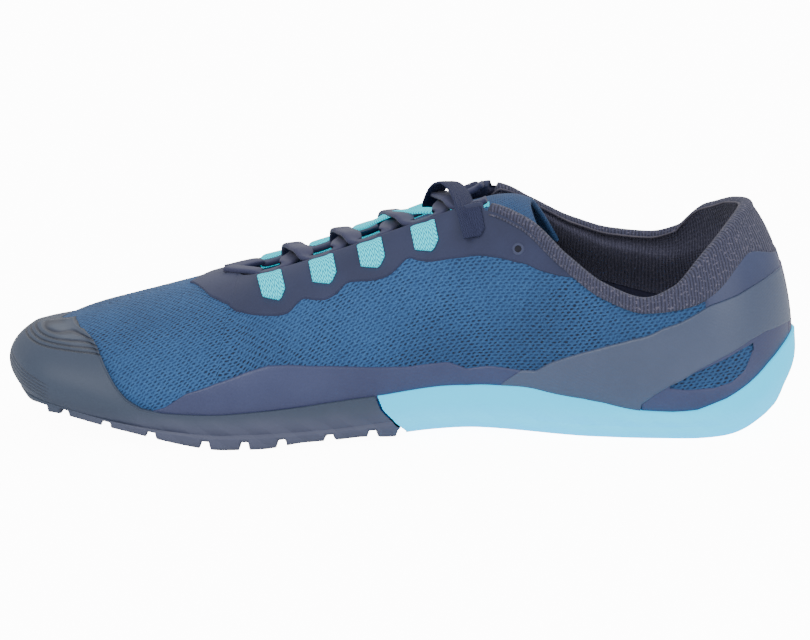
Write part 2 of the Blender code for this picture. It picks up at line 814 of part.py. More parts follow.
def cuff_section(side, s):
    """The closed section of the padded cuff at one place of the rim."""
    radius = 0.5 * CUFF_THICKNESS
    out = rim_outward(side, s)
    rim = form(side, s, 1.0)
    low = at_height(side, s, form(side, s, top_share(side, s)).z + FIT_GAP)
    shoulder = max(at_height(side, s, rim.z - radius), low + 0.02)
    outer = []
    for k in range(CUFF_LEVELS + 1):
        share = k / CUFF_LEVELS
        t = low + (shoulder - low) * share
        puff = CUFF_PUFF * math.sin(0.5 * math.pi * share)
        outer.append(form(side, s, t) + out * puff)
    centre = outer[-1] - out * radius
    arc = []
    for degrees in CUFF_ARC:
        angle = math.radians(degrees)
        arc.append(centre + out * radius * math.cos(angle) + Vector((0, 0, radius * math.sin(angle))))
    inner = [p - out * CUFF_THICKNESS for p in reversed(outer)]
    return outer + arc + inner


def rim_outward(side, s):
    """The direction in plan that points out of the collar."""
    before, after = ring_neighbours(side, s, 0.1)
    ring_step = form(*after, 1.0) - form(*before, 1.0)
    return Vector((ring_step.y, -ring_step.x, 0.0)).normalized()


def build_cuff():
    """The padded collar from one corner of the throat round the heel."""
    medial = [(MEDIAL, s) for s in STATIONS if has_cuff(s)]
    lateral = [(LATERAL, s) for s in reversed(STATIONS[:-1]) if has_cuff(s)]
    places = medial + lateral
    sections = [cuff_section(side, s) for side, s in places]
    skin = Skin()
    rows = [skin.row(section) for section in sections]
    for row, after in zip(rows, rows[1:]):
        skin.bridge(after, row, True)
    skin.face(rows[0])
    skin.face(rows[-1][::-1])
    return add_skin("collar_cuff", skin, CUFF_KNIT, 0.95)


def shell(name, places, lows, highs, levels, gap, wall, colour, roughness):
    """A thin overlay on the form between two shares of each wall."""
    count = range(len(places))

    def face_rows(offset):
        rows = []
        for level in range(levels + 1):
            share = level / levels
            row = []
            for k in count:
                t = lows[k] + (highs[k] - lows[k]) * share
                row.append(form(*places[k], t) + normal(*places[k], t) * offset)
            rows.append(row)
        return rows

    skin = Skin()
    outer = [skin.row(row) for row in face_rows(gap + wall)]
    inner = [skin.row(row) for row in face_rows(gap)]
    for lower, upper in zip(outer, outer[1:]):
        skin.bridge(lower, upper, False)
    for lower, upper in zip(inner, inner[1:]):
        skin.bridge(upper, lower, False)
    skin.bridge(outer[-1], inner[-1], False)
    skin.bridge(inner[0], outer[0], False)
    for end, order in ((0, 1), (-1, -1)):
        for lower, upper in zip(range(levels), range(1, levels + 1)):
            corners = [inner[lower][end], outer[lower][end], outer[upper][end], inner[upper][end]]
            skin.face(corners[::order])
    return add_skin(name, skin, colour, roughness)


def film_top(side, s):
    height = FILM[side](s) * height_scale(FOOT_X[side](s))
    limit = form(side, s, top_share(side, s)).z - FIT_GAP
    return at_height(side, s, min(height, limit))


def cup_top(side, s):
    cup = CUP[side](s) * height_scale(FOOT_X[side](s))
    return at_height(side, s, cup + CUP_CLEARANCE)


def build_films():
    """The side overlays of the waist and the heel counter with its wings."""
    pieces = []
    for side, name in ((MEDIAL, "side_overlay_medial"), (LATERAL, "side_overlay_lateral")):
        steps = [s for s in STATIONS if FILM_START < s < WING_START]
        steps = steps + [WING_START - WING_GAP]
        places = [(side, s) for s in steps]
        if side == LATERAL:
            places.reverse()
        pieces.append(shell(name, places, [cup_top(*p) for p in places],
                            [film_top(*p) for p in places], 2, FILM_GAP, FILM_WALL, OVERLAY, 0.5))
    steps = [WING_START + WING_GAP] + [s for s in STATIONS if s > WING_START + 0.1]
    places = [(MEDIAL, s) for s in steps] + [(LATERAL, s) for s in reversed(steps[:-1])]
    counter = shell("heel_counter", places, [cup_top(*p) for p in places],
                    [film_top(*p) for p in places], 3, FILM_GAP, FILM_WALL, OVERLAY, 0.5)
    boolean(counter, "DIFFERENCE", window_tool())
    return pieces + [counter]


def window_tool():
    """The mesh window of the counter, cut through both sides."""
    return crossways_tool("window_tool", [(along(x), z * HEEL_HEIGHT) for x, z in WINDOW])


def build_eyestay():
    """The facing round the throat that carries the lace loops."""
    steps = [s for s in STATIONS if STAY_START < s < STAY_END]
    pieces = []
    for side, name in ((MEDIAL, "eyestay_medial"), (LATERAL, "eyestay_lateral")):
        places = [(side, s) for s in steps]
        if side == LATERAL:
            places.reverse()
        highs = [top_share(*p) - STAY_EDGE for p in places]
        lows = [at_distance(side, s, STAY[side](s) * BALL_WIDTH) for side, s in places]
        pieces.append(shell(name, places, lows, highs, 2, FILM_GAP, FILM_WALL, FACING, 0.8))
    return pieces


def build_heel_strip():
    """The raised strip down the middle of the heel."""
    steps = [HEEL - STRIP_REACH, HEEL - 0.5 * STRIP_REACH, float(HEEL)]
    places = [(MEDIAL, s) for s in steps] + [(LATERAL, s) for s in steps[-2::-1]]
    lows = [cup_top(*p) for p in places]
    highs = [film_top(*p) for p in places]
    gap = FILM_GAP + FILM_WALL + FIT_GAP
    return shell("heel_strip", places, lows, highs, 6, gap, FILM_WALL, OVERLAY, 0.6)


def tongue_rows():
    """Arches from the inside of one throat edge to the other."""
    rows = []
    for s, tuck, inset, middle_x, middle_z in TONGUE:
        scale = height_scale(middle_x)
        crown = Vector((along(middle_x), across(SPINE_Y), middle_z * scale))
        row = []
        for step in range(-TONGUE_STEPS, TONGUE_STEPS + 1):
            side = MEDIAL if step < 0 else LATERAL
            t = at_distance(side, s, tuck)
            edge = form(side, s, t) - normal(side, s, t) * (UPPER_WALL + FIT_GAP + inset)
            share = abs(step) / TONGUE_STEPS
            point = crown.lerp(edge, share)
            bow = share - share ** 2
            point.z += bow * (crown.z - edge.z)
            point.x += bow * (crown.x - edge.x)
            row.append(point)
        rows.append(row)
    return rows


def build_tongue():
    """One padded sheet under the throat that rises behind the lacing."""
    down = Vector((0.0, 0.0, -TONGUE_THICKNESS))
    sections = [row + [p + down for p in reversed(row)] for row in tongue_rows()]
    return add_skin("tongue", facing_out(ribbon(sections)), TONGUE_MESH, 0.9)


def edge_place(side, share):
    """The section whose top edge lies at a share of the length."""
    low, high = float(POLE), float(HEEL)
    for _ in range(30):
        middle = 0.5 * (low + high)
        if TOP_X[side](middle) < share:
            low = middle
        else:
            high = middle
    return low


def beside_throat(side, share, out, height):
    """A point near the throat's edge: out from it and above the upper."""
    s = edge_place(side, share)
    edge = form(side, s, 1.0)
    if out > 0.0:
        t = at_distance(side, s, out)
        return form(side, s, t) + normal(side, s, t) * height
    inward = (edge - form(side, s, at_distance(side, s, 2.0 * MM))).normalized()
    return edge - inward * out + normal(side, s, 1.0) * height


def ribbon(sections):
    """A closed bar through four-sided sections."""
    skin = Skin()
    rows = [skin.row(section) for section in sections]
    for row, after in zip(rows, rows[1:]):
        skin.bridge(row, after, True)
    skin.face(rows[0][::-1])
    skin.face(rows[-1])
    return skin


def volume(skin):
    total = 0.0
    for face in skin.faces:
        a = Vector(skin.points[face[0]])
        for k in range(1, len(face) - 1):
            total += a.dot(Vector(skin.points[face[k]]).cross(Vector(skin.points[face[k + 1]])))
    return total


def facing_out(skin):
    if volume(skin) < 0.0:
        skin.faces = [face[::-1] for face in skin.faces]
    return skin


def build_loop(name, side, share, colour):
    """A folded webbing loop: its tail on the eyestay, its eye round the lace."""
    half = 0.5 * LOOP_WIDTH / LENGTH
    sections = []
    path = [(out * LOOP_LENGTH, height * LOOP_HEIGHT) for out, height in LOOP_PATH]
    for k, (out, height) in enumerate(path):
        before = path[max(0, k - 1)]
        after = path[min(len(path) - 1, k + 1)]
        run = Vector((after[0] - before[0], after[1] - before[1])).normalized()
        side_step = Vector((-run.y, run.x)) * 0.5 * LOOP_WALL
        section = []
        for width, wall in ((-half, -1), (half, -1), (half, 1), (-half, 1)):
            section.append(beside_throat(side, share + width, out + wall * side_step.x,
                                         height + wall * side_step.y))
        sections.append(section)
    return add_skin(name, facing_out(ribbon(sections)), colour, 0.7)


def lace_point(side, share, forward):
    """A point on the lace's straight pass through one loop."""
    half = 0.5 * LOOP_WIDTH / LENGTH
    rear = beside_throat(side, share + half, LACE_OUT, LACE_HEIGHT)
    front = beside_throat(side, share - half, LACE_OUT, LACE_HEIGHT)
    return rear.lerp(front, 0.5) + (rear - front).normalized() * forward


def strip(points, up):
    """A flat bar along a few points."""
    sections = []
    for k, point in enumerate(points):
        run = points[min(len(points) - 1, k + 1)] - points[max(0, k - 1)]
        across = up.cross(run).normalized() * 0.5 * LACE_WIDTH
        rise = run.cross(across).normalized() * 0.5 * LACE_THICKNESS
        sections.append([point - across - rise, point + across - rise,
                         point + across + rise, point - across + rise])
    return facing_out(ribbon(sections))


def crossing(start, end, lift, steps):
    """A bar from one loop's rear end to the front of the next on the other side."""
    points = []
    for share in (k / steps for k in range(steps + 1)):
        point = start.lerp(end, share)
        point.z += lift * math.sin(math.pi * share)
        points.append(point)
    return strip(points, Vector((0.0, 0.0, 1.0)))


def build_lace():
    """The lace's passes through the loops and its crossings, joined in one."""
    bars = []
    for shares in LOOP_ROWS:
        rear = LACE_END if shares == LOOP_ROWS[-1] else LACE_PASS
        for side in (MEDIAL, LATERAL):
            share = shares[0] if side == MEDIAL else shares[1]
            ends = [lace_point(side, share, -LACE_PASS), lace_point(side, share, rear)]
            up = normal(side, edge_place(side, share), 1.0)
            bars.append(strip(ends, up))
    first = LOOP_ROWS[0]
    bars.append(crossing(lace_point(MEDIAL, first[0], -LACE_TURN),
                         lace_point(LATERAL, first[1], -LACE_TURN), LACE_LIFT, 2))
    for k, (row, after) in enumerate(zip(LOOP_ROWS, LOOP_ROWS[1:])):
        last = k == len(LOOP_ROWS) - 2
        bars.append(crossing(lace_point(MEDIAL, row[0], LACE_TURN),
                             lace_point(LATERAL, after[1], -LACE_TURN), 0.0, 1))
        bars.append(crossing(lace_point(LATERAL, row[1], LACE_TURN),
                             lace_point(MEDIAL, after[0], -LACE_TURN),
                             LACE_ARCH if last else LACE_LIFT, 6 if last else 2))
    points, faces = [], []
    for bar in bars[1:]:
        faces += [[i + len(points) for i in face] for face in bar.faces]
        points += bar.points
    tool = as_tool(add_object("lace_bars", points, faces, LACE, 0.8))
    lace = add_object("lace", bars[0].points, bars[0].faces, LACE, 0.8)
    boolean(lace, "UNION", tool)
    lace.modifiers[-1].use_self = True
    return lace


def build_lacing():
    for number, row in enumerate(LOOP_ROWS, start=1):
        colour = FACING if number == len(LOOP_ROWS) else WEBBING
        build_loop(f"lace_loop_medial_{number}", MEDIAL, row[0], colour)
        build_loop(f"lace_loop_lateral_{number}", LATERAL, row[1], colour)
    build_lace()


def remove_all():
    for item in list(bpy.data.objects):
        bpy.data.objects.remove(item, do_unlink=True)


def main():
    remove_all()
    build_upper()
    build_soles()
    build_insole()
    build_cuff()
    build_films()
    build_eyestay()
    build_heel_strip()
    build_tongue()
    build_lacing()


main()
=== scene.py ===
import math

import bmesh
import bpy
import numpy as np
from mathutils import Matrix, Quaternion, Vector


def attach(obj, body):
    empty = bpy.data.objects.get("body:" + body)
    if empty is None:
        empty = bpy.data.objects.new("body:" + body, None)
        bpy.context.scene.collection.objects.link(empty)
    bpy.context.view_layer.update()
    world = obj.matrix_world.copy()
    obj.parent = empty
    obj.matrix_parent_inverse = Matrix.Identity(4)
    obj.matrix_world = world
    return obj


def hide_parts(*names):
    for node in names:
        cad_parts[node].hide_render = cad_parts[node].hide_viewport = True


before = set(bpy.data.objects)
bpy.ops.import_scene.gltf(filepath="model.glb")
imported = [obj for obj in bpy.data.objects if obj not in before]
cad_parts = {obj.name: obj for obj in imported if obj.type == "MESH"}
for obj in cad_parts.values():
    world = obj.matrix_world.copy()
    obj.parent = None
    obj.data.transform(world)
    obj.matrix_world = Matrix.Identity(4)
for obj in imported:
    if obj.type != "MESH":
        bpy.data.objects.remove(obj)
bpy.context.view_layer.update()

MM = 0.001

# Driving dimensions, as in the frame
LENGTH = 0.2565
BALL_WIDTH = 0.094
INSTEP_HEIGHT = 0.0755
HEEL_HEIGHT = 0.072
UPPER_WALL = 1.6 * MM
FIT_GAP = 0.3 * MM

# Sections of the last from the toe tip round to the heel, on both sides.
FEET = (
    # foot_x, medial, lateral, cup_m, cup_l
    (0.020, -0.106, -0.106, 0.431, 0.431),
    (0.033, -0.255, 0.064, 0.427, 0.427),
    (0.059, -0.335, 0.181, 0.413, 0.413),
    (0.098, -0.378, 0.287, 0.390, 0.390),
    (0.129, -0.401, 0.340, 0.300, 0.300),
    (0.164, -0.420, 0.388, 0.187, 0.187),
    (0.215, -0.438, 0.436, 0.157, 0.155),
    (0.273, -0.447, 0.473, 0.167, 0.158),
    (0.305, -0.441, 0.489, 0.177, 0.160),
    (0.336, -0.431, 0.495, 0.189, 0.162),
    (0.383, -0.404, 0.495, 0.203, 0.165),
    (0.453, -0.346, 0.473, 0.204, 0.165),
    (0.539, -0.287, 0.431, 0.241, 0.160),
    (0.605, -0.266, 0.394, 0.245, 0.155),
    (0.652, -0.268, 0.372, 0.233, 0.150),
    (0.703, -0.277, 0.356, 0.210, 0.147),
    (0.754, -0.293, 0.344, 0.178, 0.147),
    (0.805, -0.304, 0.333, 0.153, 0.147),
    (0.855, -0.306, 0.319, 0.146, 0.150),
    (0.906, -0.287, 0.293, 0.194, 0.194),
    (0.949, -0.202, 0.207, 0.306, 0.306),
    (0.977, 0.000, 0.000, 0.442, 0.442),
)
TOPS = (
    # top_x, medial, lateral, high_m, high_l, cuff_m, cuff_l
    (0.121, 0.000, 0.000, 0.469, 0.469, 0.000, 0.000),
    (0.121, 0.000, 0.000, 0.469, 0.469, 0.000, 0.000),
    (0.121, 0.000, 0.000, 0.469, 0.469, 0.000, 0.000),
    (0.129, 0.000, 0.000, 0.477, 0.477, 0.000, 0.000),
    (0.146, 0.000, 0.000, 0.493, 0.493, 0.000, 0.000),
    (0.176, 0.000, 0.000, 0.520, 0.520, 0.000, 0.000),
    (0.227, 0.000, 0.000, 0.567, 0.567, 0.000, 0.000),
    (0.291, 0.000, 0.000, 0.627, 0.627, 0.000, 0.000),
    (0.296, -0.064, 0.085, 0.627, 0.621, 0.000, 0.000),
    (0.316, -0.112, 0.133, 0.643, 0.627, 0.000, 0.000),
    (0.379, -0.138, 0.160, 0.711, 0.680, 0.000, 0.000),
    (0.453, -0.154, 0.176, 0.804, 0.764, 0.000, 0.000),
    (0.539, -0.181, 0.191, 0.920, 0.873, 0.000, 0.000),
    (0.609, -0.202, 0.207, 1.000, 0.960, 0.033, 0.033),
    (0.656, -0.239, 0.255, 0.959, 0.886, 0.040, 0.040),
    (0.707, -0.298, 0.303, 0.830, 0.783, 0.047, 0.047),
    (0.758, -0.327, 0.327, 0.715, 0.721, 0.055, 0.060),
    (0.809, -0.330, 0.330, 0.656, 0.711, 0.055, 0.083),
    (0.850, -0.314, 0.314, 0.708, 0.750, 0.094, 0.125),
    (0.891, -0.250, 0.234, 0.847, 0.896, 0.171, 0.208),
    (0.922, -0.144, 0.128, 0.949, 0.969, 0.146, 0.167),
    (0.9375, 0.000, 0.000, 1.000, 1.000, 0.243, 0.243),
)
WALLS = (
    # flare, rise, reach, drop
    (0.069, 0.060, 0.282, 0.000),
    (0.064, 0.073, 0.255, 0.000),
    (0.064, 0.093, 0.255, 0.000),
    (0.064, 0.113, 0.266, 0.000),
    (0.064, 0.133, 0.271, 0.000),
    (0.064, 0.160, 0.277, 0.000),
    (0.064, 0.200, 0.287, 0.000),
    (0.059, 0.240, 0.298, 0.000),
    (0.056, 0.253, 0.245, 0.024),
    (0.053, 0.267, 0.213, 0.043),
    (0.048, 0.287, 0.186, 0.064),
    (0.043, 0.333, 0.165, 0.093),
    (0.048, 0.373, 0.133, 0.140),
    (0.064, 0.400, 0.101, 0.200),
    (0.074, 0.373, 0.074, 0.227),
    (0.080, 0.293, 0.037, 0.213),
    (0.074, 0.240, 0.021, 0.180),
    (0.069, 0.207, 0.016, 0.160),
    (0.069, 0.220, 0.027, 0.187),
    (0.074, 0.267, 0.064, 0.240),
    (0.085, 0.267, 0.085, 0.213),
    (0.096, 0.267, 0.112, 0.167),
)
THROAT = 7
CORNER = 13
HEEL = len(FEET) - 1
POLE_SLOPE = 0.26
SPINE_Y = 0.011
AXIS_Y = -0.024
HEEL_CENTRE = 0.867
HEEL_BLEND = (0.60, 0.85)
SPRING_START = 0.285
SPRING_POWER = 1.5
TOE_SPRING = 11.5 * MM
ARCH_LIFT = 2.2 * MM
ARCH_SPAN = (0.42, 0.74)
ARCH_REACH = (-0.1, 0.3)

# Sole
FLOOR_THICKNESS = 3.0 * MM
LUG_DEPTH = 2.4 * MM
CUP_EDGE = 1.2 * MM
CUP_WALL = 2.3 * MM
BASE_FLARE = 3.4 * MM
EDGE_ROLL = 2.0 * MM
SPLIT = ((0.473, 0.60), (0.473, 0.21), (0.481, 0.14), (0.494, 0.085), (0.508, 0.035), (0.509, -0.20))
SPLIT_GAP = 0.8 * MM
EDGE_LUGS = (0.057, 0.084, 0.137, 0.195, 0.263, 0.312, 0.358, 0.417, 0.470, 0.506)
LUG_SLOT = 2.2 * MM
FRONT_LUG_WIDTH = 11.0 * MM
REAR_EDGE_WIDTH = 9.0 * MM
RIM_ROLL = 3.6 * MM
RIM_WIDTH = 6.0 * MM
LUG_NOSE = 1.6 * MM
LUG_BEVEL = 0.6 * MM
INNER_FIELDS = (
    # first, last, rows, width of the edge beside them
    (0.120, 0.470, 6, FRONT_LUG_WIDTH),
    (0.722, 0.918, 4, REAR_EDGE_WIDTH),
)
INSOLE_THICKNESS = 2.6 * MM
INSOLE_MARGIN = 0.6 * MM

# Cuff, tongue and lacing
CUFF_THICKNESS = 4.6 * MM
TONGUE_THICKNESS = 2.2 * MM
TONGUE = (
    # section, tuck, inset, crown_x, crown_z
    (8.4, 5.0 * MM, 0.7 * MM, 0.308, 0.596),
    (9.0, 6.0 * MM, 0.7 * MM, 0.325, 0.608),
    (10.0, 7.0 * MM, 0.7 * MM, 0.385, 0.668),
    (11.0, 7.0 * MM, 0.7 * MM, 0.458, 0.760),
    (12.0, 7.0 * MM, 0.7 * MM, 0.541, 0.878),
    (12.9, 7.5 * MM, 1.5 * MM, 0.600, 0.940),
    (13.4, 8.0 * MM, 3.2 * MM, 0.622, 0.962),
    (14.0, 7.0 * MM, 4.0 * MM, 0.643, 0.968),
    (14.7, 6.0 * MM, 4.2 * MM, 0.661, 0.955),
)
MEDIAL = -1
LATERAL = 1
SIDES = (("medial", MEDIAL), ("lateral", LATERAL))


def smooth(value, low, high):
    share = np.clip((value - low) / (high - low), 0.0, 1.0)
    return share * share * (3.0 - 2.0 * share)


def ring_curve(medial, lateral):
    """A column of a table round the whole shoe, with slopes that never overshoot."""
    values = np.array(medial[:0:-1] + lateral[:-1])
    steps = np.roll(values, -1) - values
    before = np.roll(steps, 1)
    product = steps * before
    total = np.where(product > 0.0, steps + before, 1.0)
    return values, np.where(product > 0.0, 2.0 * product / total, 0.0)


def cubic(t, first, first_slope, second, second_slope):
    """From one value to the next, with the slopes at both."""
    return (first * (2 * t ** 3 - 3 * t ** 2 + 1) + first_slope * (t ** 3 - 2 * t ** 2 + t)
            + second * (3 * t ** 2 - 2 * t ** 3) + second_slope * (t ** 3 - t ** 2))


def read(curve, u):
    """The curve at place u: below 0 on the medial side, above 0 on the lateral."""
    values, slopes = curve
    place = np.mod(u + HEEL, 2 * HEEL)
    k = np.floor(place).astype(int) % (2 * HEEL)
    n = (k + 1) % (2 * HEEL)
    return cubic(place - np.floor(place), values[k], slopes[k], values[n], slopes[n])


def pick(table, medial_column, lateral_column):
    medial = [row[medial_column] for row in table]
    lateral = [row[lateral_column] for row in table]
    return ring_curve(medial, lateral)


FOOT_X, FOOT_Y, CUP = pick(FEET, 0, 0), pick(FEET, 1, 2), pick(FEET, 3, 4)
TOP_X, TOP_Y, TOP_Z, CUFF = pick(TOPS, 0, 0), pick(TOPS, 1, 2), pick(TOPS, 3, 4), pick(TOPS, 5, 6)
FLARE, RISE, REACH, DROP = [pick(WALLS, column, column) for column in range(4)]


def along(share):
    return (share - 0.5) * LENGTH


def across(share):
    return (share + AXIS_Y) * BALL_WIDTH


def height_scale(share):
    return INSTEP_HEIGHT + (HEEL_HEIGHT - INSTEP_HEIGHT) * smooth(share, *HEEL_BLEND)


def stack(x, y, z):
    return np.stack(np.broadcast_arrays(x, y, z), -1).astype(float)


def unit(vectors):
    return vectors / np.maximum(np.linalg.norm(vectors, axis=-1, keepdims=True), 1e-12)


def wrapped(u):
    return np.mod(u + HEEL, 2 * HEEL) - HEEL


def underside(x, y):
    """The height of the tread: toe spring and a lift under the arch."""
    share = x / LENGTH + 0.5
    spring = TOE_SPRING * np.clip((SPRING_START - share) / SPRING_START, 0.0, None) ** SPRING_POWER
    middle = 0.5 * (ARCH_SPAN[0] + ARCH_SPAN[1])
    lift = smooth(share, ARCH_SPAN[0], middle) * (1.0 - smooth(share, middle, ARCH_SPAN[1]))
    inward = smooth(-y / BALL_WIDTH, *ARCH_REACH)
    return spring + ARCH_LIFT * lift * inward


def foot_edge(u):
    x = along(read(FOOT_X, u))
    y = across(read(FOOT_Y, u))
    return stack(x, y, underside(x, y) + LUG_DEPTH + FLOOR_THICKNESS + FIT_GAP)


def spine(u):
    share = np.clip(read(FOOT_X, u), TOPS[0][0], HEEL_CENTRE)
    return stack(along(share), across(SPINE_Y), 0.0)


def outward(u):
    """The direction in plan from the middle line to the feather edge."""
    step = foot_edge(u) - spine(u)
    step[..., 2] = 0.0
    return unit(step)


def form(u, t):
    """Points of the upper's outer face: place u round the shoe, share t up the wall."""
    u, t = np.broadcast_arrays(np.asarray(u, float), np.asarray(t, float))
    u = wrapped(u)
    out = outward(u)
    foot = foot_edge(u)
    top_u = np.where(np.abs(u) <= THROAT, -np.abs(u), u)
    share = read(TOP_X, top_u)
    scale = height_scale(share)
    top = stack(along(share), across(read(TOP_Y, top_u)), read(TOP_Z, top_u) * scale)
    low = foot + out * (read(FLARE, u) * BALL_WIDTH)[..., None]
    low[..., 2] += read(RISE, u) * scale
    reach = out * (read(REACH, u) * BALL_WIDTH)[..., None]
    slope = np.where(np.abs(u) < THROAT, POLE_SLOPE * np.minimum(0.0, reach[..., 0]), 0.0)
    high = top + reach
    high[..., 2] += slope - read(DROP, u) * scale
    t = t[..., None]
    r = 1.0 - t
    return foot * r ** 3 + low * (3 * r * r * t) + high * (3 * r * t * t) + top * t ** 3


def normal(u, t):
    ring = form(u - 0.05, t) - form(u + 0.05, t)
    up = form(u, np.minimum(1.0, t + 0.01)) - form(u, np.maximum(0.0, t - 0.01))
    return unit(np.cross(ring, up))


BISECTIONS = 24


def at_height(u, height):
    """The share of the wall at which it reaches a height."""
    u, height = np.broadcast_arrays(np.asarray(u, float), height)
    low, high = np.zeros(u.shape), np.ones(u.shape)
    for _ in range(BISECTIONS):
        middle = 0.5 * (low + high)
        below = form(u, middle)[..., 2] < height
        low, high = np.where(below, middle, low), np.where(below, high, middle)
    return np.where(form(u, 1.0)[..., 2] <= height, 1.0, low)


DEPTH_STEPS = 120


def depths(u):
    """Distances down the wall from its top edge, at even steps of t from 1 to 0."""
    t = np.linspace(1.0, 0.0, DEPTH_STEPS + 1)
    points = form(np.asarray(u, float)[..., None], t)
    steps = np.linalg.norm(np.diff(points, axis=-2), axis=-1)
    return t, np.concatenate([np.zeros(steps.shape[:-1] + (1,)), np.cumsum(steps, -1)], -1)


def at_distance(u, distance):
    """The share of the wall that lies a distance below its top edge."""
    u, distance = np.broadcast_arrays(np.atleast_1d(np.asarray(u, float)), distance)
    t, walked = depths(u)
    flat = [np.interp(d, w, t) for d, w in zip(distance.ravel(), walked.reshape(-1, DEPTH_STEPS + 1))]
    return np.array(flat).reshape(u.shape)


def depth_at(u, t):
    """How far below the top edge a share of the wall lies."""
    u, t = np.broadcast_arrays(np.asarray(u, float), np.asarray(t, float))
    places, back = np.unique(u.round(9), return_inverse=True)
    _, walked = depths(places)
    back = back.reshape(-1)
    position = (1.0 - t.ravel()) * DEPTH_STEPS
    k = np.clip(np.floor(position).astype(int), 0, DEPTH_STEPS - 1)
    rest = position - k
    found = walked[back, k] * (1.0 - rest) + walked[back, k + 1] * rest
    return found.reshape(u.shape)


def wall_top(u):
    """Where the upper's own wall ends: under the cuff, or at the form's top."""
    rim = form(u, 1.0)[..., 2]
    below = at_height(u, rim - read(CUFF, u) * height_scale(read(TOP_X, u)))
    return np.where(np.abs(wrapped(u)) >= CORNER - 1e-6, below, 1.0)


CUP_LINE = (
    # section, share of the wall at the rubber's upper edge
    (0.0, 0.850), (0.63, 0.820), (1.5, 0.785), (2.42, 0.730), (3.02, 0.640), (3.43, 0.560), (3.68, 0.487),
    (4.17, 0.373), (4.58, 0.270), (5.0, 0.180), (5.4, 0.122), (5.9, 0.101), (6.8, 0.103), (8.7, 0.112),
    (9.6, 0.116), (10.4, 0.121), (10.9, 0.119), (11.4, 0.112), (12.2, 0.112), (12.7, 0.107), (13.4, 0.114),
    (14.4, 0.135), (15.6, 0.148), (16.1, 0.140), (16.6, 0.119), (17.0, 0.104), (17.8, 0.090), (18.4, 0.095),
    (19.05, 0.145), (19.55, 0.203), (20.1, 0.272), (20.5, 0.314), (20.75, 0.332), (21.0, 0.340),
)
OUTER_CAP_DROP = 0.13
OUTER_CAP_START = (0.0, 1.5)
OUTER_CAP_END = (3.6, 5.4)


def along_line(line, sections):
    """The second column of a table, read at places in its first."""
    return np.interp(sections, [p[0] for p in line], [p[1] for p in line])


def cup_share(u):
    """How far up the wall the sole's cup reaches; the toe cap is lower on the outer side."""
    place = wrapped(np.asarray(u, float))
    outer = smooth(place, *OUTER_CAP_START) * (1.0 - smooth(place, *OUTER_CAP_END))
    return along_line(CUP_LINE, np.abs(place)) - OUTER_CAP_DROP * outer


# Cloth places: the knit's own flat coordinates on the form, in metres
ROW_TILT = 0.14
ROW_BLEND = (8.0, 12.5)
GIRTH_LEVEL = 84.0 * MM
POLE_BLEND = (3.0, 5.5)


def cloth_place(u, t):
    """Along the shoe and round its girth, so that the knit keeps its real pitch."""
    u, t = np.broadcast_arrays(wrapped(np.asarray(u, float)), np.asarray(t, float))
    points = form(u, t)
    section = np.abs(u)
    crown = np.abs(read(TOP_Y, np.where(section <= THROAT, -section, u)) - SPINE_Y) * BALL_WIDTH
    crown = np.where(section <= THROAT, 0.0, crown)
    depth = depth_at(u, t)
    whole = depth_at(u, np.zeros(t.shape))
    from_top = crown + depth
    chord = np.abs(points[..., 1] - across(SPINE_Y))
    near_pole = 1.0 - smooth(section, *POLE_BLEND)
    from_top = from_top * (1.0 - near_pole) + chord * near_pole
    from_foot = GIRTH_LEVEL - (whole - depth)
    rear = smooth(section, *ROW_BLEND)
    girth = from_top * (1.0 - rear) + from_foot * rear
    tilt = ROW_TILT * points[..., 0]
    return np.stack([points[..., 0], girth + tilt], -1)


class Sheets:
    """Grids of points with their cloth places, gathered into one mesh."""

    def __init__(self):
        self.points = []
        self.places = []
        self.quads = []
        self.count = 0

    def add(self, points, places=None, turned=False):
        rows, columns = points.shape[:2]
        if places is None:
            places = flat_places(points)
        index = self.count + np.arange(rows * columns).reshape(rows, columns)
        corners = [index[:-1, :-1], index[:-1, 1:], index[1:, 1:], index[1:, :-1]]
        if turned:
            corners.reverse()
        self.quads.append(np.stack(corners, -1).reshape(-1, 4))
        self.points.append(points.reshape(-1, 3))
        self.places.append(places.reshape(-1, 2))
        self.count += rows * columns
        return self

    def finish(self, name, material, slot, replaced=()):
        points = np.concatenate(self.points)
        quads = np.concatenate(self.quads)
        places = np.concatenate(self.places)
        mesh = bpy.data.meshes.new(name)
        mesh.vertices.add(len(points))
        mesh.vertices.foreach_set("co", points.ravel())
        mesh.loops.add(quads.size)
        mesh.loops.foreach_set("vertex_index", quads.ravel())
        mesh.polygons.add(len(quads))
        mesh.polygons.foreach_set("loop_start", np.arange(0, quads.size, 4))
        mesh.update(calc_edges=True)
        layer = mesh.uv_layers.new(name="Cloth")
        layer.uv.foreach_set("vector", places[quads.ravel()].astype(np.float32).ravel())
        shape = bmesh.new()
        shape.from_mesh(mesh)
        bmesh.ops.remove_doubles(shape, verts=shape.verts[:], dist=2e-6)
        shape.to_mesh(mesh)
        shape.free()
        mesh.shade_smooth()
        mesh.materials.append(material)
        return dress(bpy.data.objects.new(name, mesh), replaced)


def flat_places(points):
    """Cloth places of a loose grid, from the mean lengths of its rows and columns."""
    beside = np.linalg.norm(np.diff(points, axis=1), axis=-1).mean(axis=0)
    up = np.linalg.norm(np.diff(points, axis=0), axis=-1).mean(axis=1)
    x = np.concatenate([[0.0], np.cumsum(beside)])
    y = np.concatenate([[0.0], np.cumsum(up)])
    return stack(x[None, :], y[:, None], 0.0)[..., :2]


def dress(piece, replaced=()):
    """Links a finished piece to the frame."""
    bpy.context.scene.collection.objects.link(piece)
    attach(piece, "root")
    if replaced:
        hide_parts(*replaced)
    return piece


# Materials

def linear(*rgb):
    """A colour written as screen values from 0 to 255."""
    return tuple(((c / 255.0 + 0.055) / 1.055) ** 2.4 if c > 10 else c / 255.0 / 12.92 for c in rgb) + (1.0,)


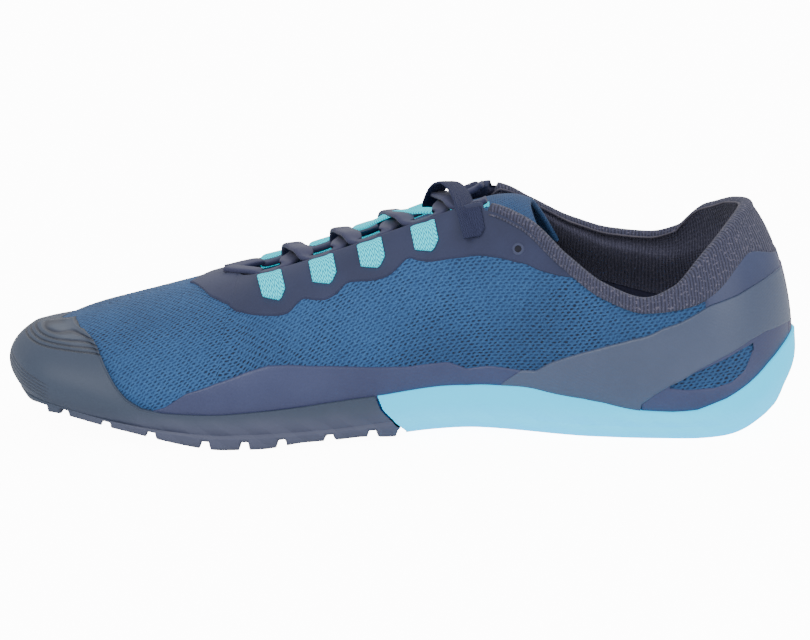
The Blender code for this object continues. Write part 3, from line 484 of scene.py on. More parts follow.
class Finish:
    """One procedural material and short names for its nodes."""

    def __init__(self, name, roughness, sheen=0.0, coat=0.0):
        self.material = bpy.data.materials.new(name)
        self.material.use_nodes = True
        self.tree = self.material.node_tree
        self.shader = self.tree.nodes["Principled BSDF"]
        self.set("Roughness", roughness)
        self.set("Sheen Weight", sheen)
        self.set("Sheen Roughness", 0.5)
        self.set("Coat Weight", coat)
        self.set("Coat Roughness", 0.35)

    def set(self, socket, value):
        self.join(self.shader.inputs[socket], value)

    def join(self, socket, value):
        if isinstance(value, bpy.types.NodeSocket):
            self.tree.links.new(value, socket)
        else:
            socket.default_value = value

    def add_painted_glow(self, colour):
        """Painted glow: light of its own given to a part that is no lamp, to lift its colour."""
        self.set("Emission Color", colour)
        self.set("Emission Strength", PAINTED_GLOW)

    def node(self, kind, output=0, inputs=None, **settings):
        made = self.tree.nodes.new(kind)
        for key, value in settings.items():
            setattr(made, key, value)
        for key, value in (inputs or {}).items():
            self.join(made.inputs[key], value)
        return made.outputs[output]

    def math(self, operation, *values):
        return self.node("ShaderNodeMath", operation=operation, inputs=dict(enumerate(values)))

    def plus(self, a, b):
        return self.math("ADD", a, b)

    def minus(self, a, b):
        return self.math("SUBTRACT", a, b)

    def times(self, a, b):
        return self.math("MULTIPLY", a, b)

    def over(self, a, b):
        return self.math("DIVIDE", a, b)

    def wave(self, turns):
        """A sine that repeats at every whole turn."""
        return self.math("SINE", self.times(turns, 2.0 * math.pi))

    def ramp(self, value, low, high, to_low=0.0, to_high=1.0):
        return self.node("ShaderNodeMapRange", interpolation_type="SMOOTHSTEP", inputs={
            "Value": value, "From Min": low, "From Max": high, "To Min": to_low, "To Max": to_high})

    def mix(self, share, a, b):
        made = self.tree.nodes.new("ShaderNodeMix")
        made.data_type = "RGBA"
        self.join(made.inputs[0], share)
        self.join(made.inputs[6], a)
        self.join(made.inputs[7], b)
        return made.outputs[2]

    def split(self, place):
        """The coordinates of a place as separate values."""
        made = self.tree.nodes.new("ShaderNodeSeparateXYZ")
        self.join(made.inputs[0], place)
        return made.outputs

    def cloth(self):
        """The two cloth coordinates, in metres."""
        return self.split(self.node("ShaderNodeUVMap", uv_map="Cloth"))[:2]

    def noise(self, scale, detail=2.0):
        """Random relief with a number of grains to the metre."""
        place = self.node("ShaderNodeTexCoord", output=3)
        return self.node("ShaderNodeTexNoise", inputs={"Vector": place, "Scale": scale, "Detail": detail})

    def bump(self, height, distance, strength=1.0, below=None):
        made = self.tree.nodes.new("ShaderNodeBump")
        made.inputs["Strength"].default_value = strength
        made.inputs["Distance"].default_value = distance
        self.join(made.inputs["Height"], height)
        if below is not None:
            self.join(made.inputs["Normal"], below)
        return made.outputs[0]


# The open mesh: along and across a row, in shares of the pitch
MESH_PITCH = (1.9 * MM, 1.08 * MM)
FINE_MESH_PITCH = (1.3 * MM, 0.8 * MM)
PIT_SIZE = (0.33, 0.31)
PIT_SLANT = 0.35
ROW_WOBBLE = 0.8
COLUMN_WOBBLE = 0.7

# Grains to the metre
YARN_GRAIN = 420.0
PIT_GRAIN = 650.0
FIBRE_GRAIN = 1900.0
PATCH_GRAIN = 30.0
STAIN_GRAIN = 18.0


def knit_finish(name, base, pit_shade_and_stain, lit, pitch=MESH_PITCH, strength=1.0):
    """Open mesh: staggered rows of small slanted pits between round yarns, with painted shade in the pits and
    a painted highlight on the yarn between them.
    """
    finish = Finish(name, 0.8, sheen=0.05)
    x, y = finish.cloth()
    wobble = finish.noise(YARN_GRAIN, 1.0)
    row = finish.plus(finish.over(y, pitch[1]), finish.times(wobble, ROW_WOBBLE))
    shift = finish.times(finish.math("FLOORED_MODULO", finish.math("FLOOR", row), 2.0), 0.5)
    column = finish.plus(finish.plus(finish.over(x, pitch[0]), shift), finish.times(wobble, COLUMN_WOBBLE))
    down = finish.minus(finish.math("FRACT", row), 0.5)
    side = finish.minus(finish.math("FRACT", column), 0.5)
    fallen = finish.plus(down, finish.times(side, PIT_SLANT))
    a, b = finish.over(side, PIT_SIZE[0]), finish.over(fallen, PIT_SIZE[1])
    away = finish.math("SQRT", finish.plus(finish.times(a, a), finish.times(b, b)))
    open_share = finish.ramp(away, 0.45, 1.15, 1.0, 0.0)
    patches = finish.ramp(finish.noise(PATCH_GRAIN, 4.0), 0.34, 0.60, 0.45, 1.0)
    single = finish.ramp(finish.noise(PIT_GRAIN, 1.0), 0.32, 0.62, 0.25, 1.0)
    pits = finish.times(finish.times(open_share, patches), single)
    fibres = finish.noise(FIBRE_GRAIN, 3.0)
    body = finish.mix(finish.ramp(fibres, 0.48, 0.72, 0.0, 0.8), base, lit)
    # Painted highlight: the yarn away from the pits is coloured towards the lit colour.
    body = finish.mix(finish.ramp(away, 1.0, 1.5, 0.0, 0.5), body, lit)
    # Random stains darken the knit towards the same dark colour that paints the shade in the pits.
    body = finish.mix(finish.ramp(finish.noise(STAIN_GRAIN, 3.0), 0.35, 0.7, 0.0, 0.35), body, pit_shade_and_stain)
    # Painted shade: the pits are coloured towards the dark pit colour.
    finish.set("Base Color", finish.mix(finish.times(pits, strength), body, pit_shade_and_stain))
    finish.set("Normal", finish.bump(finish.minus(finish.times(fibres, 0.3), pits), 0.3 * MM, 0.8))
    return finish.material


def film_finish(name, colour, dark, roughness=0.42):
    """A thin welded film through which a little of the knit still shows."""
    finish = Finish(name, roughness, coat=0.08)
    x, y = finish.cloth()
    finish.set("Base Color", finish.mix(finish.ramp(finish.noise(PATCH_GRAIN, 3.0), 0.35, 0.7), colour, dark))
    columns = finish.wave(finish.over(x, 1.9 * MM))
    rows = finish.wave(finish.over(y, 1.1 * MM))
    relief = finish.plus(finish.times(rows, columns), finish.times(finish.noise(900.0), 1.5))
    finish.set("Normal", finish.bump(relief, 0.03 * MM, 0.5))
    return finish.material


def facing_finish(name, colour, dark):
    """Smooth backed fabric with a fine grain and soft mottling."""
    finish = Finish(name, 0.68, sheen=0.1)
    finish.set("Base Color", finish.mix(finish.ramp(finish.noise(55.0, 4.0), 0.3, 0.7), colour, dark))
    finish.set("Normal", finish.bump(finish.noise(1400.0, 3.0), 0.08 * MM, 0.5))
    return finish.material


def rib_knit_finish(name, colour, dark, lit, pitch=1.15 * MM):
    """Ribbed knit: fine ribs across the band, with painted shade in the troughs between the ribs and specks
    of lighter yarn.
    """
    finish = Finish(name, 0.9, sheen=0.1)
    x, y = finish.cloth()
    rib = finish.wave(finish.plus(finish.over(x, pitch), finish.times(finish.noise(220.0), 0.7)))
    stitch = finish.wave(finish.over(y, 0.9 * MM))
    speck = finish.noise(1300.0, 3.0)
    # Painted shade: the troughs between the ribs are coloured towards the dark colour.
    shade = finish.mix(finish.ramp(rib, -0.9, 0.3), dark, colour)
    finish.set("Base Color", finish.mix(finish.ramp(speck, 0.54, 0.70, 0.0, 0.8), shade, lit))
    height = finish.plus(finish.plus(finish.times(rib, 0.6), finish.times(stitch, 0.15)), speck)
    finish.set("Normal", finish.bump(height, 0.22 * MM, 0.8))
    return finish.material


def lining_finish(name, colour, lit):
    finish = Finish(name, 0.9, sheen=0.1)
    speck = finish.noise(1100.0, 3.0)
    finish.set("Base Color", finish.mix(finish.ramp(speck, 0.5, 0.75, 0.0, 0.7), colour, lit))
    finish.set("Normal", finish.bump(speck, 0.15 * MM, 0.6))
    return finish.material


# Strength of the painted glow on the bright cyan rubber and webbing.
PAINTED_GLOW = 0.9
LOW_SHINE = 0.15
RUBBER_SHINE = 0.4
FACET_PITCH = 13.0 * MM
FACET_SLOPE = 1.3
FACET_DEPTH = 1.6 * MM
FACET_TOP = (6.0 * MM, 11.0 * MM)
GROOVE_DEPTH = 0.7 * MM
GROOVE_FADE = 4.0 * MM
GROOVE_SHADE = linear(46, 50, 64)
# Heights over which the painted floor light fades out up the sole.
FLOOR_LIGHT_BAND = (3.0 * MM, 15.0 * MM)
TOE_LEVEL = 105.0 * MM


def rubber_finish(name, colour, low, roughness, grooves=(), glow=None):
    """Moulded rubber, painted lighter near the ground as light from the floor, with random mottling and
    engraved lines on the toe.
    """
    finish = Finish(name, roughness)
    x, _, z = finish.split(finish.node("ShaderNodeTexCoord", output=3))
    # Painted light: towards the ground the colour turns to the lighter low colour, as light bounced up from
    # the floor; noise adds random mottling.
    wide = finish.plus(finish.ramp(z, *FLOOR_LIGHT_BAND, 1.0, 0.0), finish.times(finish.noise(60.0, 4.0), 0.6))
    shade = finish.mix(finish.ramp(wide, 0.3, 1.2), colour, low)
    fine = finish.plus(finish.noise(500.0, 3.0), finish.times(finish.noise(2500.0), 0.4))
    texture = finish.bump(fine, 0.05 * MM, 0.5)
    leaning = finish.plus(x, finish.times(z, FACET_SLOPE))
    facet = finish.math("PINGPONG", finish.over(leaning, FACET_PITCH), 0.5)
    facet = finish.times(facet, finish.ramp(z, *FACET_TOP, 1.0, 0.0))
    texture = finish.bump(facet, FACET_DEPTH, 0.7, texture)
    for first, pitch, tilt, count, width, rear, depth in grooves:
        level = finish.minus(z, finish.times(finish.plus(x, TOE_LEVEL), tilt))
        steps = finish.over(finish.minus(level, first), pitch)
        before_last = finish.ramp(steps, count - 0.55, count - 0.5, 1.0, 0.0)
        inside = finish.times(finish.ramp(steps, -0.5, -0.45), before_last)
        inside = finish.times(inside, finish.ramp(x, rear - GROOVE_FADE, rear, 1.0, 0.0))
        away = finish.math("ABSOLUTE", finish.minus(finish.math("FRACT", finish.plus(steps, 0.5)), 0.5))
        cut = finish.times(finish.ramp(away, 0.0, width, 1.0, 0.0), inside)
        shade = finish.mix(finish.times(cut, depth), shade, GROOVE_SHADE)
        texture = finish.bump(finish.times(cut, -1.0), GROOVE_DEPTH, depth, texture)
    finish.set("Base Color", shade)
    finish.set("Normal", texture)
    finish.set("Specular IOR Level", RUBBER_SHINE if glow is None else LOW_SHINE)
    # Painted glow in the given colour, for a part that is no lamp.
    if glow:
        finish.add_painted_glow(glow)
    return finish.material


LANE_PITCH = 1.5 * MM
RIB_PITCH = 1.0 * MM
RIB_SLANT = 2.4


def webbing_finish(name, colour, dark, lit, glowing=False):
    """Woven tape: slanted ribs that meet in a herringbone, with painted shade in the troughs and a painted
    highlight on the crests.
    """
    finish = Finish(name, 0.6)
    finish.set("Specular IOR Level", LOW_SHINE)
    x, y = finish.cloth()
    lane = finish.math("PINGPONG", finish.over(x, LANE_PITCH), 0.5)
    rib = finish.wave(finish.plus(finish.over(y, RIB_PITCH), finish.times(lane, RIB_SLANT)))
    gap = finish.ramp(finish.math("ABSOLUTE", finish.minus(lane, 0.25)), 0.16, 0.25)
    # Painted shade in the rib troughs, then a painted highlight on the rib crests.
    shade = finish.mix(finish.ramp(rib, -0.8, 0.2), dark, colour)
    shade = finish.mix(finish.ramp(rib, 0.4, 1.0, 0.0, 0.8), shade, lit)
    finish.set("Base Color", shade)
    finish.set("Normal", finish.bump(finish.minus(finish.times(rib, 0.5), gap), 0.15 * MM, 0.8))
    # Painted glow in the weave's own colours.
    if glowing:
        finish.add_painted_glow(shade)
    return finish.material


TOE_GROOVES = (
    # first level, pitch, tilt, count, width as a share of the pitch, rear end, depth
    (28.5 * MM, 0.95 * MM, -0.05, 5, 0.34, -90.0 * MM, 0.9),
    (11.6 * MM, 1.15 * MM, -0.35, 5, 0.40, -111.0 * MM, 0.5),
)
# Knit colours: its own colour, the painted shade in its pits, and the painted highlight on its yarns.
KNIT = knit_finish("upper_knit", linear(28, 71, 121), linear(2, 16, 46), linear(60, 112, 166))
TONGUE_MESH = knit_finish("tongue_knit", linear(27, 68, 116), linear(10, 32, 70), linear(54, 98, 148),
                          FINE_MESH_PITCH, 0.7)
LOW_FILM = film_finish("side_film", linear(56, 63, 100), linear(64, 72, 110))
WING_FILM = film_finish("wing_film", linear(72, 84, 110), linear(80, 91, 118), 0.38)
COUNTER_FILM = film_finish("counter_film", linear(54, 63, 97), linear(62, 73, 108))
STRIP_FILM = film_finish("strip_film", linear(74, 70, 100), linear(88, 84, 112), 0.55)
FACING = facing_finish("facing_cloth", linear(35, 42, 74), linear(43, 50, 84))
EYELET_RIM = facing_finish("eyelet_rim", linear(56, 62, 92), linear(66, 72, 102))
# A light ribbon along the cuff's inner edge: a painted highlight where light catches the edge.
CUFF_EDGE_HIGHLIGHT = facing_finish("cuff_edge_highlight", linear(98, 94, 106), linear(66, 64, 82))
# In the rib knits the second colour is the painted shade in the troughs.
CUFF_KNIT = rib_knit_finish("cuff_knit", linear(70, 72, 96), linear(46, 47, 66), linear(114, 110, 128))
COLLAR_LINING = rib_knit_finish("collar_lining", linear(84, 84, 106), linear(66, 66, 86),
                                linear(104, 102, 120))
LINING = lining_finish("lining_cloth", linear(50, 51, 78), linear(68, 68, 94))
FOOTBED = lining_finish("footbed_cloth", linear(26, 28, 42), linear(46, 48, 64))
# Each rubber's second colour is its painted floor light near the ground.
DARK_RUBBER = rubber_finish("dark_rubber", linear(64, 75, 94), linear(84, 89, 112), 0.5, TOE_GROOVES)
BRIGHT_RUBBER = rubber_finish("bright_rubber", linear(10, 214, 245), linear(62, 222, 255), 0.45, (),
                              linear(10, 190, 255))
WEBBING = webbing_finish("loop_webbing", linear(0, 212, 230), linear(0, 128, 158), linear(60, 244, 255),
                         True)
DARK_WEBBING = webbing_finish("dark_webbing", linear(52, 56, 84), linear(46, 50, 76), linear(58, 62, 92))
LACE_WEAVE = facing_finish("lace_weave", linear(42, 48, 84), linear(52, 54, 86))


# Upper

def even(first, last, pitch):
    return np.linspace(first, last, int(round((last - first) / pitch)) + 1)


def build_upper():
    places = even(-HEEL, HEEL, 1 / 12)
    t = np.linspace(0.0, 1.0, 90)[:, None] * wall_top(places)[None, :]
    u = np.broadcast_to(places, t.shape)
    return Sheets().add(form(u, t), cloth_place(u, t), turned=True).finish(
        "knit_upper", KNIT, "knit_mesh", ["upper"])


def build_lining():
    """The inside of the upper, from its edge down to the footbed."""
    places = even(-HEEL, HEEL, 1 / 6)
    t = np.linspace(1.0, 0.0, 30)[:, None] * wall_top(places)[None, :]
    u = np.broadcast_to(places, t.shape)
    inside = form(u, t) - normal(u, t) * UPPER_WALL
    edge = form(places, wall_top(places))[None]
    return Sheets().add(np.concatenate([edge, inside]), turned=True).finish("lining", LINING, "footbed")


# Films

FILM_RISE = 0.55 * MM
FILM_SINK = 0.15 * MM
UNDER_CUP = 3.0 * MM
HEM = 0.5 * MM
ALL_ROLLED = (True, True, True, True)
FILM_LINE = (
    # section, share of the wall
    (5.55, 0.10), (5.95, 0.143), (6.38, 0.233), (7.0, 0.280), (8.5, 0.340), (9.3, 0.363), (9.8, 0.347),
    (10.55, 0.300), (11.3, 0.243), (11.7, 0.217), (12.35, 0.210), (12.7, 0.174), (13.2, 0.190), (14.5, 0.205),
)
WING_LINE = (
    (13.47, 0.117), (14.05, 0.200), (14.43, 0.223), (14.8, 0.307), (15.57, 0.450), (16.55, 0.623),
    (16.8, 0.665), (17.57, 0.733), (18.22, 0.733), (18.82, 0.722), (19.52, 0.673), (19.9, 0.660),
    (20.9, 0.625),
)
LOW_LINE = (
    (17.0, 0.150), (17.37, 0.233), (17.73, 0.290), (18.47, 0.370), (19.0, 0.400), (19.67, 0.430),
    (20.1, 0.430), (20.9, 0.385),
)
WINDOW_TOP = ((17.74, 0.275), (17.93, 0.325), (18.47, 0.350), (18.97, 0.370), (19.4, 0.392), (19.72, 0.398))
WINDOW_FOOT = ((17.74, 0.272), (18.2, 0.243), (18.8, 0.220), (19.2, 0.237), (19.5, 0.280), (19.72, 0.372))
STRIP_EDGE = (
    # share of the wall, section of the strip's edge
    (0.0, 20.66), (0.36, 20.70), (0.44, 20.75), (0.50, 20.70), (0.55, 20.63), (0.63, 20.52), (0.74, 20.40),
    (1.0, 20.30),
)
STRIP_RISE = 0.7 * MM
STRIP_SINK = 0.1 * MM
STRIP_ROLL = 9.0
STRIP_FADE = 0.06
HIGH_PATCH_START = 18.72
# How far one piece runs on under the next, as a share of the wall
LAP = 0.01
WINDOW_LAP = 0.015


def cover(places, low, high, levels, lift, rolled, hem=HEM):
    """A film between two shares of the wall, rolled down at its lower, upper, first and last border."""
    span = np.maximum(depth_at(places, low) - depth_at(places, high), 1e-5)
    share = np.linspace(0.0, 1.0, levels)[:, None] * np.ones_like(places)[None, :]
    edge = np.minimum(0.5, hem / span)
    share[1], share[-2] = edge * 0.5, 1.0 - edge * 0.5
    share[2], share[-3] = edge, 1.0 - edge
    share = np.sort(share, axis=0)
    t = low + (high - low) * share
    u = np.broadcast_to(places, t.shape)
    step = np.linalg.norm(np.diff(form(places, 0.5 * (low + high)), axis=0), axis=-1)
    walked = np.broadcast_to(np.concatenate([[0.0], np.cumsum(step)]), t.shape)
    margins = (share * span, (1.0 - share) * span, walked, walked[0, -1] - walked)
    rise = np.ones(t.shape)
    for margin, is_rolled in zip(margins, rolled):
        if is_rolled:
            rise = np.minimum(rise, smooth(margin, 0.0, hem))
    return u, t, form(u, t) + normal(u, t) * (rise * (lift + FILM_SINK) - FILM_SINK)[..., None]


def film_low(u):
    """Where the films start, hidden under the edge of the sole's cup."""
    cup = read(CUP, u) * height_scale(read(FOOT_X, u))
    return at_height(u, cup - UNDER_CUP)


def on_side(first, last, pitch, sign):
    places = even(first, last, pitch) * sign
    return places[::-1] if sign == MEDIAL else places


def add_cover(sheets, places, low, high, levels, lift, rolled=ALL_ROLLED):
    u, t, points = cover(places, low, np.maximum(high, low + 1e-3), levels, lift, rolled)
    return sheets.add(points, cloth_place(u, t), turned=True)


def build_side_film(side, sign):
    places = on_side(FILM_LINE[0][0], FILM_LINE[-1][0], 1 / 16, sign)
    top = along_line(FILM_LINE, np.abs(places))
    add_cover(Sheets(), places, film_low(places), top, 36, FILM_RISE).finish(
        f"side_film_{side}", LOW_FILM, "film", [f"side_overlay_{side}"])


def build_wing(side, sign):
    """The large grey patch that sweeps up from the sole to the heel."""
    places = on_side(WING_LINE[0][0], WING_LINE[-1][0], 1 / 16, sign)
    section = np.abs(places)
    top = along_line(WING_LINE, section)
    low = np.where(section < LOW_LINE[0][0], film_low(places), along_line(LOW_LINE, section) - LAP)
    add_cover(Sheets(), places, np.minimum(low, top - 0.5 * LAP), top, 50, 1.5 * FILM_RISE).finish(
        f"wing_{side}", WING_FILM, "film", ["heel_counter"] if sign == MEDIAL else ())


def build_counter(side, sign):
    """The heel patch under the wing, with its window of bare mesh, and the one above it."""
    sheets = Sheets()
    ends = (LOW_LINE[0][0], WINDOW_TOP[0][0], WINDOW_TOP[-1][0], LOW_LINE[-1][0])
    for k, (start, stop) in enumerate(zip(ends[:-1], ends[1:])):
        places = on_side(start, stop, 1 / 24, sign)
        section = np.abs(places)
        foot, top = film_low(places), along_line(LOW_LINE, section) + WINDOW_LAP
        rolled = (True, True, k == 0, k == 2) if sign == LATERAL else (True, True, k == 2, k == 0)
        if k == 1:
            add_cover(sheets, places, foot, along_line(WINDOW_FOOT, section), 24, FILM_RISE, rolled)
            add_cover(sheets, places, along_line(WINDOW_TOP, section), top, 12, FILM_RISE, rolled)
        else:
            add_cover(sheets, places, foot, top, 36, FILM_RISE, rolled)
    sheets.finish(f"counter_low_{side}", LOW_FILM, "film")
    places = on_side(HIGH_PATCH_START, WING_LINE[-1][0], 1 / 24, sign)
    low = along_line(WING_LINE, np.abs(places)) - LAP
    add_cover(Sheets(), places, low, wall_top(places) + LAP, 30, FILM_RISE).finish(
        f"counter_high_{side}", COUNTER_FILM, "film")


def build_overlays():
    for side, sign in SIDES:
        build_side_film(side, sign)
        build_wing(side, sign)
        build_counter(side, sign)


def build_heel_strip():
    """The narrow band up the back, a little proud of the films beside it."""
    back = np.array([float(HEEL)])
    foot, top = film_low(back)[0], wall_top(back)[0]
    t = np.linspace(foot, top, 70)[:, None]
    half = HEEL - along_line(STRIP_EDGE, t)
    lane = np.linspace(-1.0, 1.0, 33)[None, :]
    u = HEEL + half * lane
    t = np.minimum(np.broadcast_to(t, u.shape), wall_top(u[-1])[None, :] + 2.0 * LAP)
    inset = np.minimum((1.0 - np.abs(lane)) * STRIP_ROLL, 1.0)
    rise = smooth(inset, 0.0, 1.0) * (1.0 - smooth(t, top - STRIP_FADE, top)) * STRIP_RISE
    points = form(u, t) + normal(u, t) * (rise - STRIP_SINK)[..., None]
    return Sheets().add(points, cloth_place(u, t), turned=True).finish(
        "back_strip", STRIP_FILM, "film", ["heel_strip"])


# Facing round the throat

STAY_RISE = 0.6 * MM
STAY_INSIDE = 6.0 * MM
STAY_HEM = 0.7 * MM
STAY_TURN_START = 0.7
STAY_TURN_END = 0.1
STAY_FOLD = 0.4
STAY_LINE = (
    # section, share of the wall at the facing's lower border
    (6.02, 0.995), (6.12, 0.97), (6.33, 0.867), (6.48, 0.790), (6.77, 0.722), (7.17, 0.688), (7.8, 0.688),
    (8.45, 0.687), (9.18, 0.658), (9.6, 0.628), (9.80, 0.630), (9.94, 0.680), (10.06, 0.704), (10.25, 0.673),
    (10.48, 0.652), (10.66, 0.672), (10.80, 0.726), (10.95, 0.716), (11.2, 0.690), (11.42, 0.686),
    (11.57, 0.722), (11.70, 0.776), (11.85, 0.735), (12.05, 0.710), (12.63, 0.693), (13.2, 0.700),
    (13.88, 0.730), (14.45, 0.767), (15.05, 0.857), (15.37, 0.910), (15.5, 0.935),
)
STAY_ROUNDING = (-0.06, -0.03, 0.0, 0.03, 0.06)
EYELET_PLACE = (13.95, 0.813)
EYELET_RADIUS = 1.1 * MM
EYELET_PROFILE = (
    # out from the centre in radii, height in millimetres
    (0.0, 0.62), (1.0, 0.62), (1.0, 0.8), (1.1, 0.95), (1.35, 1.0), (1.6, 0.85), (1.8, 0.55),
)


def build_facing(side, sign):
    """The facing on one side, turned in over the throat's edge."""
    places = on_side(STAY_LINE[0][0], STAY_LINE[-1][0], 1 / 30, sign)
    section = np.abs(places)
    top = np.where(section >= CORNER, wall_top(places) + LAP, 1.0)
    low = np.mean([along_line(STAY_LINE, section + step) for step in STAY_ROUNDING], axis=0)
    rolled = (True, False, sign == MEDIAL, sign == LATERAL)
    u, t, outer = cover(places, low, np.maximum(top, low + 1e-3), 44, STAY_RISE, rolled, STAY_HEM)
    edge = form(places, top)
    face = normal(places, top)
    up = unit(edge - form(places, top - 3.0 * LAP))
    turned = smooth(section, THROAT, THROAT + STAY_TURN_START)
    turned = turned * (1.0 - smooth(section, CORNER - STAY_TURN_END, CORNER))
    radius = STAY_RISE + 0.5 * UPPER_WALL
    rows = []
    for angle in np.linspace(0.0, math.pi, 9)[1:]:
        rows.append(outer[-1] + turned[:, None] * radius * (
            face * (math.cos(angle) - 1.0) + STAY_FOLD * up * math.sin(angle)))
    folded = rows[-1]
    for share in np.linspace(0.0, 1.0, 5)[1:]:
        rows.append(folded - turned[:, None] * up * STAY_INSIDE * share)
    inner_places = np.broadcast_to(cloth_place(u, t)[-1], (len(rows), len(places), 2))
    Sheets().add(np.concatenate([outer, rows]), np.concatenate([cloth_place(u, t), inner_places]),
                 turned=True).finish(f"facing_{side}", FACING, "facing", [f"eyestay_{side}"])


def build_eyelet(side, sign):
    """The spare hole behind the last loop, with its pressed rim; the hole is a dark disc of painted shade."""
    u, t = np.array([EYELET_PLACE[0] * sign]), np.array([EYELET_PLACE[1]])
    centre, face = form(u, t)[0], normal(u, t)[0]
    a = unit(np.cross(face, np.array([0.0, 0.0, 1.0])))
    b = np.cross(face, a)
    turn = np.linspace(0.0, 2.0 * math.pi, 33)
    ring = a * np.cos(turn)[:, None] + b * np.sin(turn)[:, None]
    rows = [centre + ring * EYELET_RADIUS * out + face * height * MM for out, height in EYELET_PROFILE]
    # The hole is a flat disc in the dark footbed cloth: painted shade where the hole opens into the shoe.
    for name, material, part in (("hole", FOOTBED, rows[:2]), ("rim", EYELET_RIM, rows[1:])):
        Sheets().add(np.stack(part), turned=sign == MEDIAL).finish(
            f"eyelet_{name}_{side}", material, "facing")


def build_facings():
    for side, sign in SIDES:
        build_facing(side, sign)
        build_eyelet(side, sign)


# Cuff

def rim_outward(u):
    step = form(u - 0.1, 1.0) - form(u + 0.1, 1.0)
    return unit(stack(step[..., 1], -step[..., 0], 0.0))


SIDE_LIFT = 1.8 * MM
SIDE_LIFT_START = (14.0, 16.0)
SIDE_LIFT_END = (18.3, 19.5)
CUFF_END = 0.15
CUFF_PUFF = 1.1 * MM
HEEL_PUFF_LOSS = 0.9 * MM
HEEL_PUFF_BLEND = (19.0, 20.5)
CUFF_LAP = 0.6 * MM
# Rows of the cuff over which the side's lift comes in, and from which it fades
LIFT_IN = 15.0
LIFT_OUT = 30.0
LIFT_FADE = 20.0
LINING_PUFF = 0.8 * MM
LINING_GAP = 0.2 * MM
LINING_DROP = 0.3
LINING_END = 0.05
# Width and thickness of the ribbon of painted highlight.
EDGE_HIGHLIGHT_SIZE = (0.6 * MM, 0.7 * MM)


def build_cuff():
    """The padded collar and, inside it, its soft lining, with a thin light ribbon as a painted highlight
    along its inner edge.
    """
    places = even(CORNER, 2 * HEEL - CORNER, 1 / 20)
    radius = 0.5 * CUFF_THICKNESS
    out = rim_outward(places)
    rim = form(places, 1.0)
    low = at_height(places, form(places, wall_top(places))[..., 2] - CUFF_LAP)
    shoulder = np.maximum(at_height(places, rim[..., 2] - radius), low + 2.0 * LAP)
    at_heel = smooth(np.abs(wrapped(places)), *HEEL_PUFF_BLEND)
    rows = []
    for share in np.linspace(0.0, 1.0, 16):
        t = low + (shoulder - low) * share
        puff = math.sin(math.pi * share ** 0.6) * (CUFF_PUFF - HEEL_PUFF_LOSS * at_heel)
        rows.append(form(places, t) + out * puff[:, None])
    centre = rows[-1] - out * radius
    for angle in np.linspace(0.0, math.pi, 14)[1:]:
        lift = stack(0.0, 0.0, radius * math.sin(angle))
        rows.append(centre + out * radius * math.cos(angle) + lift)
    outer_count = len(rows)
    for share in np.linspace(0.0, 1.0, 14)[1:]:
        t = shoulder + (low - shoulder) * share
        rows.append(form(places, t) - out * (CUFF_THICKNESS - LINING_PUFF * math.sin(math.pi * share)))
    for share in np.linspace(0.0, 1.0, 12)[1:]:
        t = np.maximum(low - LINING_DROP * share, LINING_END)
        depth = CUFF_THICKNESS + (UPPER_WALL + LINING_GAP - CUFF_THICKNESS) * smooth(share, 0.0, 1.0)
        rows.append(form(places, t) - out * depth)
    lateral = wrapped(places)
    swing = smooth(lateral, *SIDE_LIFT_START) * (1.0 - smooth(lateral, *SIDE_LIFT_END)) * SIDE_LIFT
    for k, row in enumerate(rows):
        row[:, 2] += swing * min(1.0, k / LIFT_IN, max(0.0, 1.0 - (k - LIFT_OUT) / LIFT_FADE))
    closed = smooth(np.abs(lateral), CORNER, CORNER + CUFF_END)[:, None]
    anchor = centre - stack(0.0, 0.0, radius)
    rows = [anchor + (row - anchor) * closed for row in rows]
    outer = Sheets().add(np.stack(rows[:outer_count]), turned=True)
    piece = outer.finish("cuff", CUFF_KNIT, "cuff_knit", ["collar_cuff"])
    inside = Sheets().add(np.stack(rows[outer_count - 1:]), turned=True)
    inside.finish("cuff_lining", COLLAR_LINING, "cuff_knit")
    # Painted highlight: a thin light ribbon along the cuff's inner edge, where light catches it.
    edge_highlight = Sheets().add(*ribbon(rows[outer_count - 2], out, *EDGE_HIGHLIGHT_SIZE, 3))
    edge_highlight.finish("cuff_edge_highlight", CUFF_EDGE_HIGHLIGHT, "cuff_knit")


# Tongue and footbed

def interpolated(table, count):
    """More rows between the rows of a table, by the same smooth curve."""
    table = np.array(table)
    place = np.linspace(0, len(table) - 1, count)
    columns = []
    for column in table.T:
        steps = np.diff(column)
        slope = np.concatenate([[steps[0]], 0.5 * (steps[1:] + steps[:-1]), [steps[-1]]])
        i = np.minimum(place.astype(int), len(table) - 2)
        columns.append(cubic(place - i, column[i], slope[i], column[i + 1], slope[i + 1]))
    return np.array(columns).T


def build_tongue():
    rows = []
    lanes = np.linspace(-1.0, 1.0, 41)
    for s, tuck, inset, middle_x, middle_z in interpolated(TONGUE, 70):
        crown = np.array([along(middle_x), across(SPINE_Y), middle_z * height_scale(middle_x)])
        u = np.where(lanes < 0.0, -s, s)
        t = at_distance(u, tuck)
        edge = form(u, t) - normal(u, t) * (UPPER_WALL + FIT_GAP + inset)
        share = np.abs(lanes)
        bow = share - share ** 2
        point = crown + (edge - crown) * share[:, None]
        point[:, 2] += bow * (crown[2] - edge[:, 2])
        point[:, 0] += bow * (crown[0] - edge[:, 0])
        rows.append(point)
    top = np.stack(rows)
    run = unit(np.gradient(top, axis=0))
    side = unit(np.gradient(top, axis=1))
    face = unit(np.cross(run, side))
    face *= np.sign(face[..., 2:3].mean())
    lip = [top[-1] + run[-1] * TONGUE_THICKNESS * 0.5 * math.sin(a)
           - face[-1] * TONGUE_THICKNESS * 0.5 * (1.0 - math.cos(a)) for a in np.linspace(0.0, math.pi, 8)]
    sheets = Sheets().add(top).add(np.stack(lip)).add(top - face * TONGUE_THICKNESS, turned=True)
    piece = sheets.finish("tongue_pad", TONGUE_MESH, "tongue_mesh", ["tongue"])
    return piece


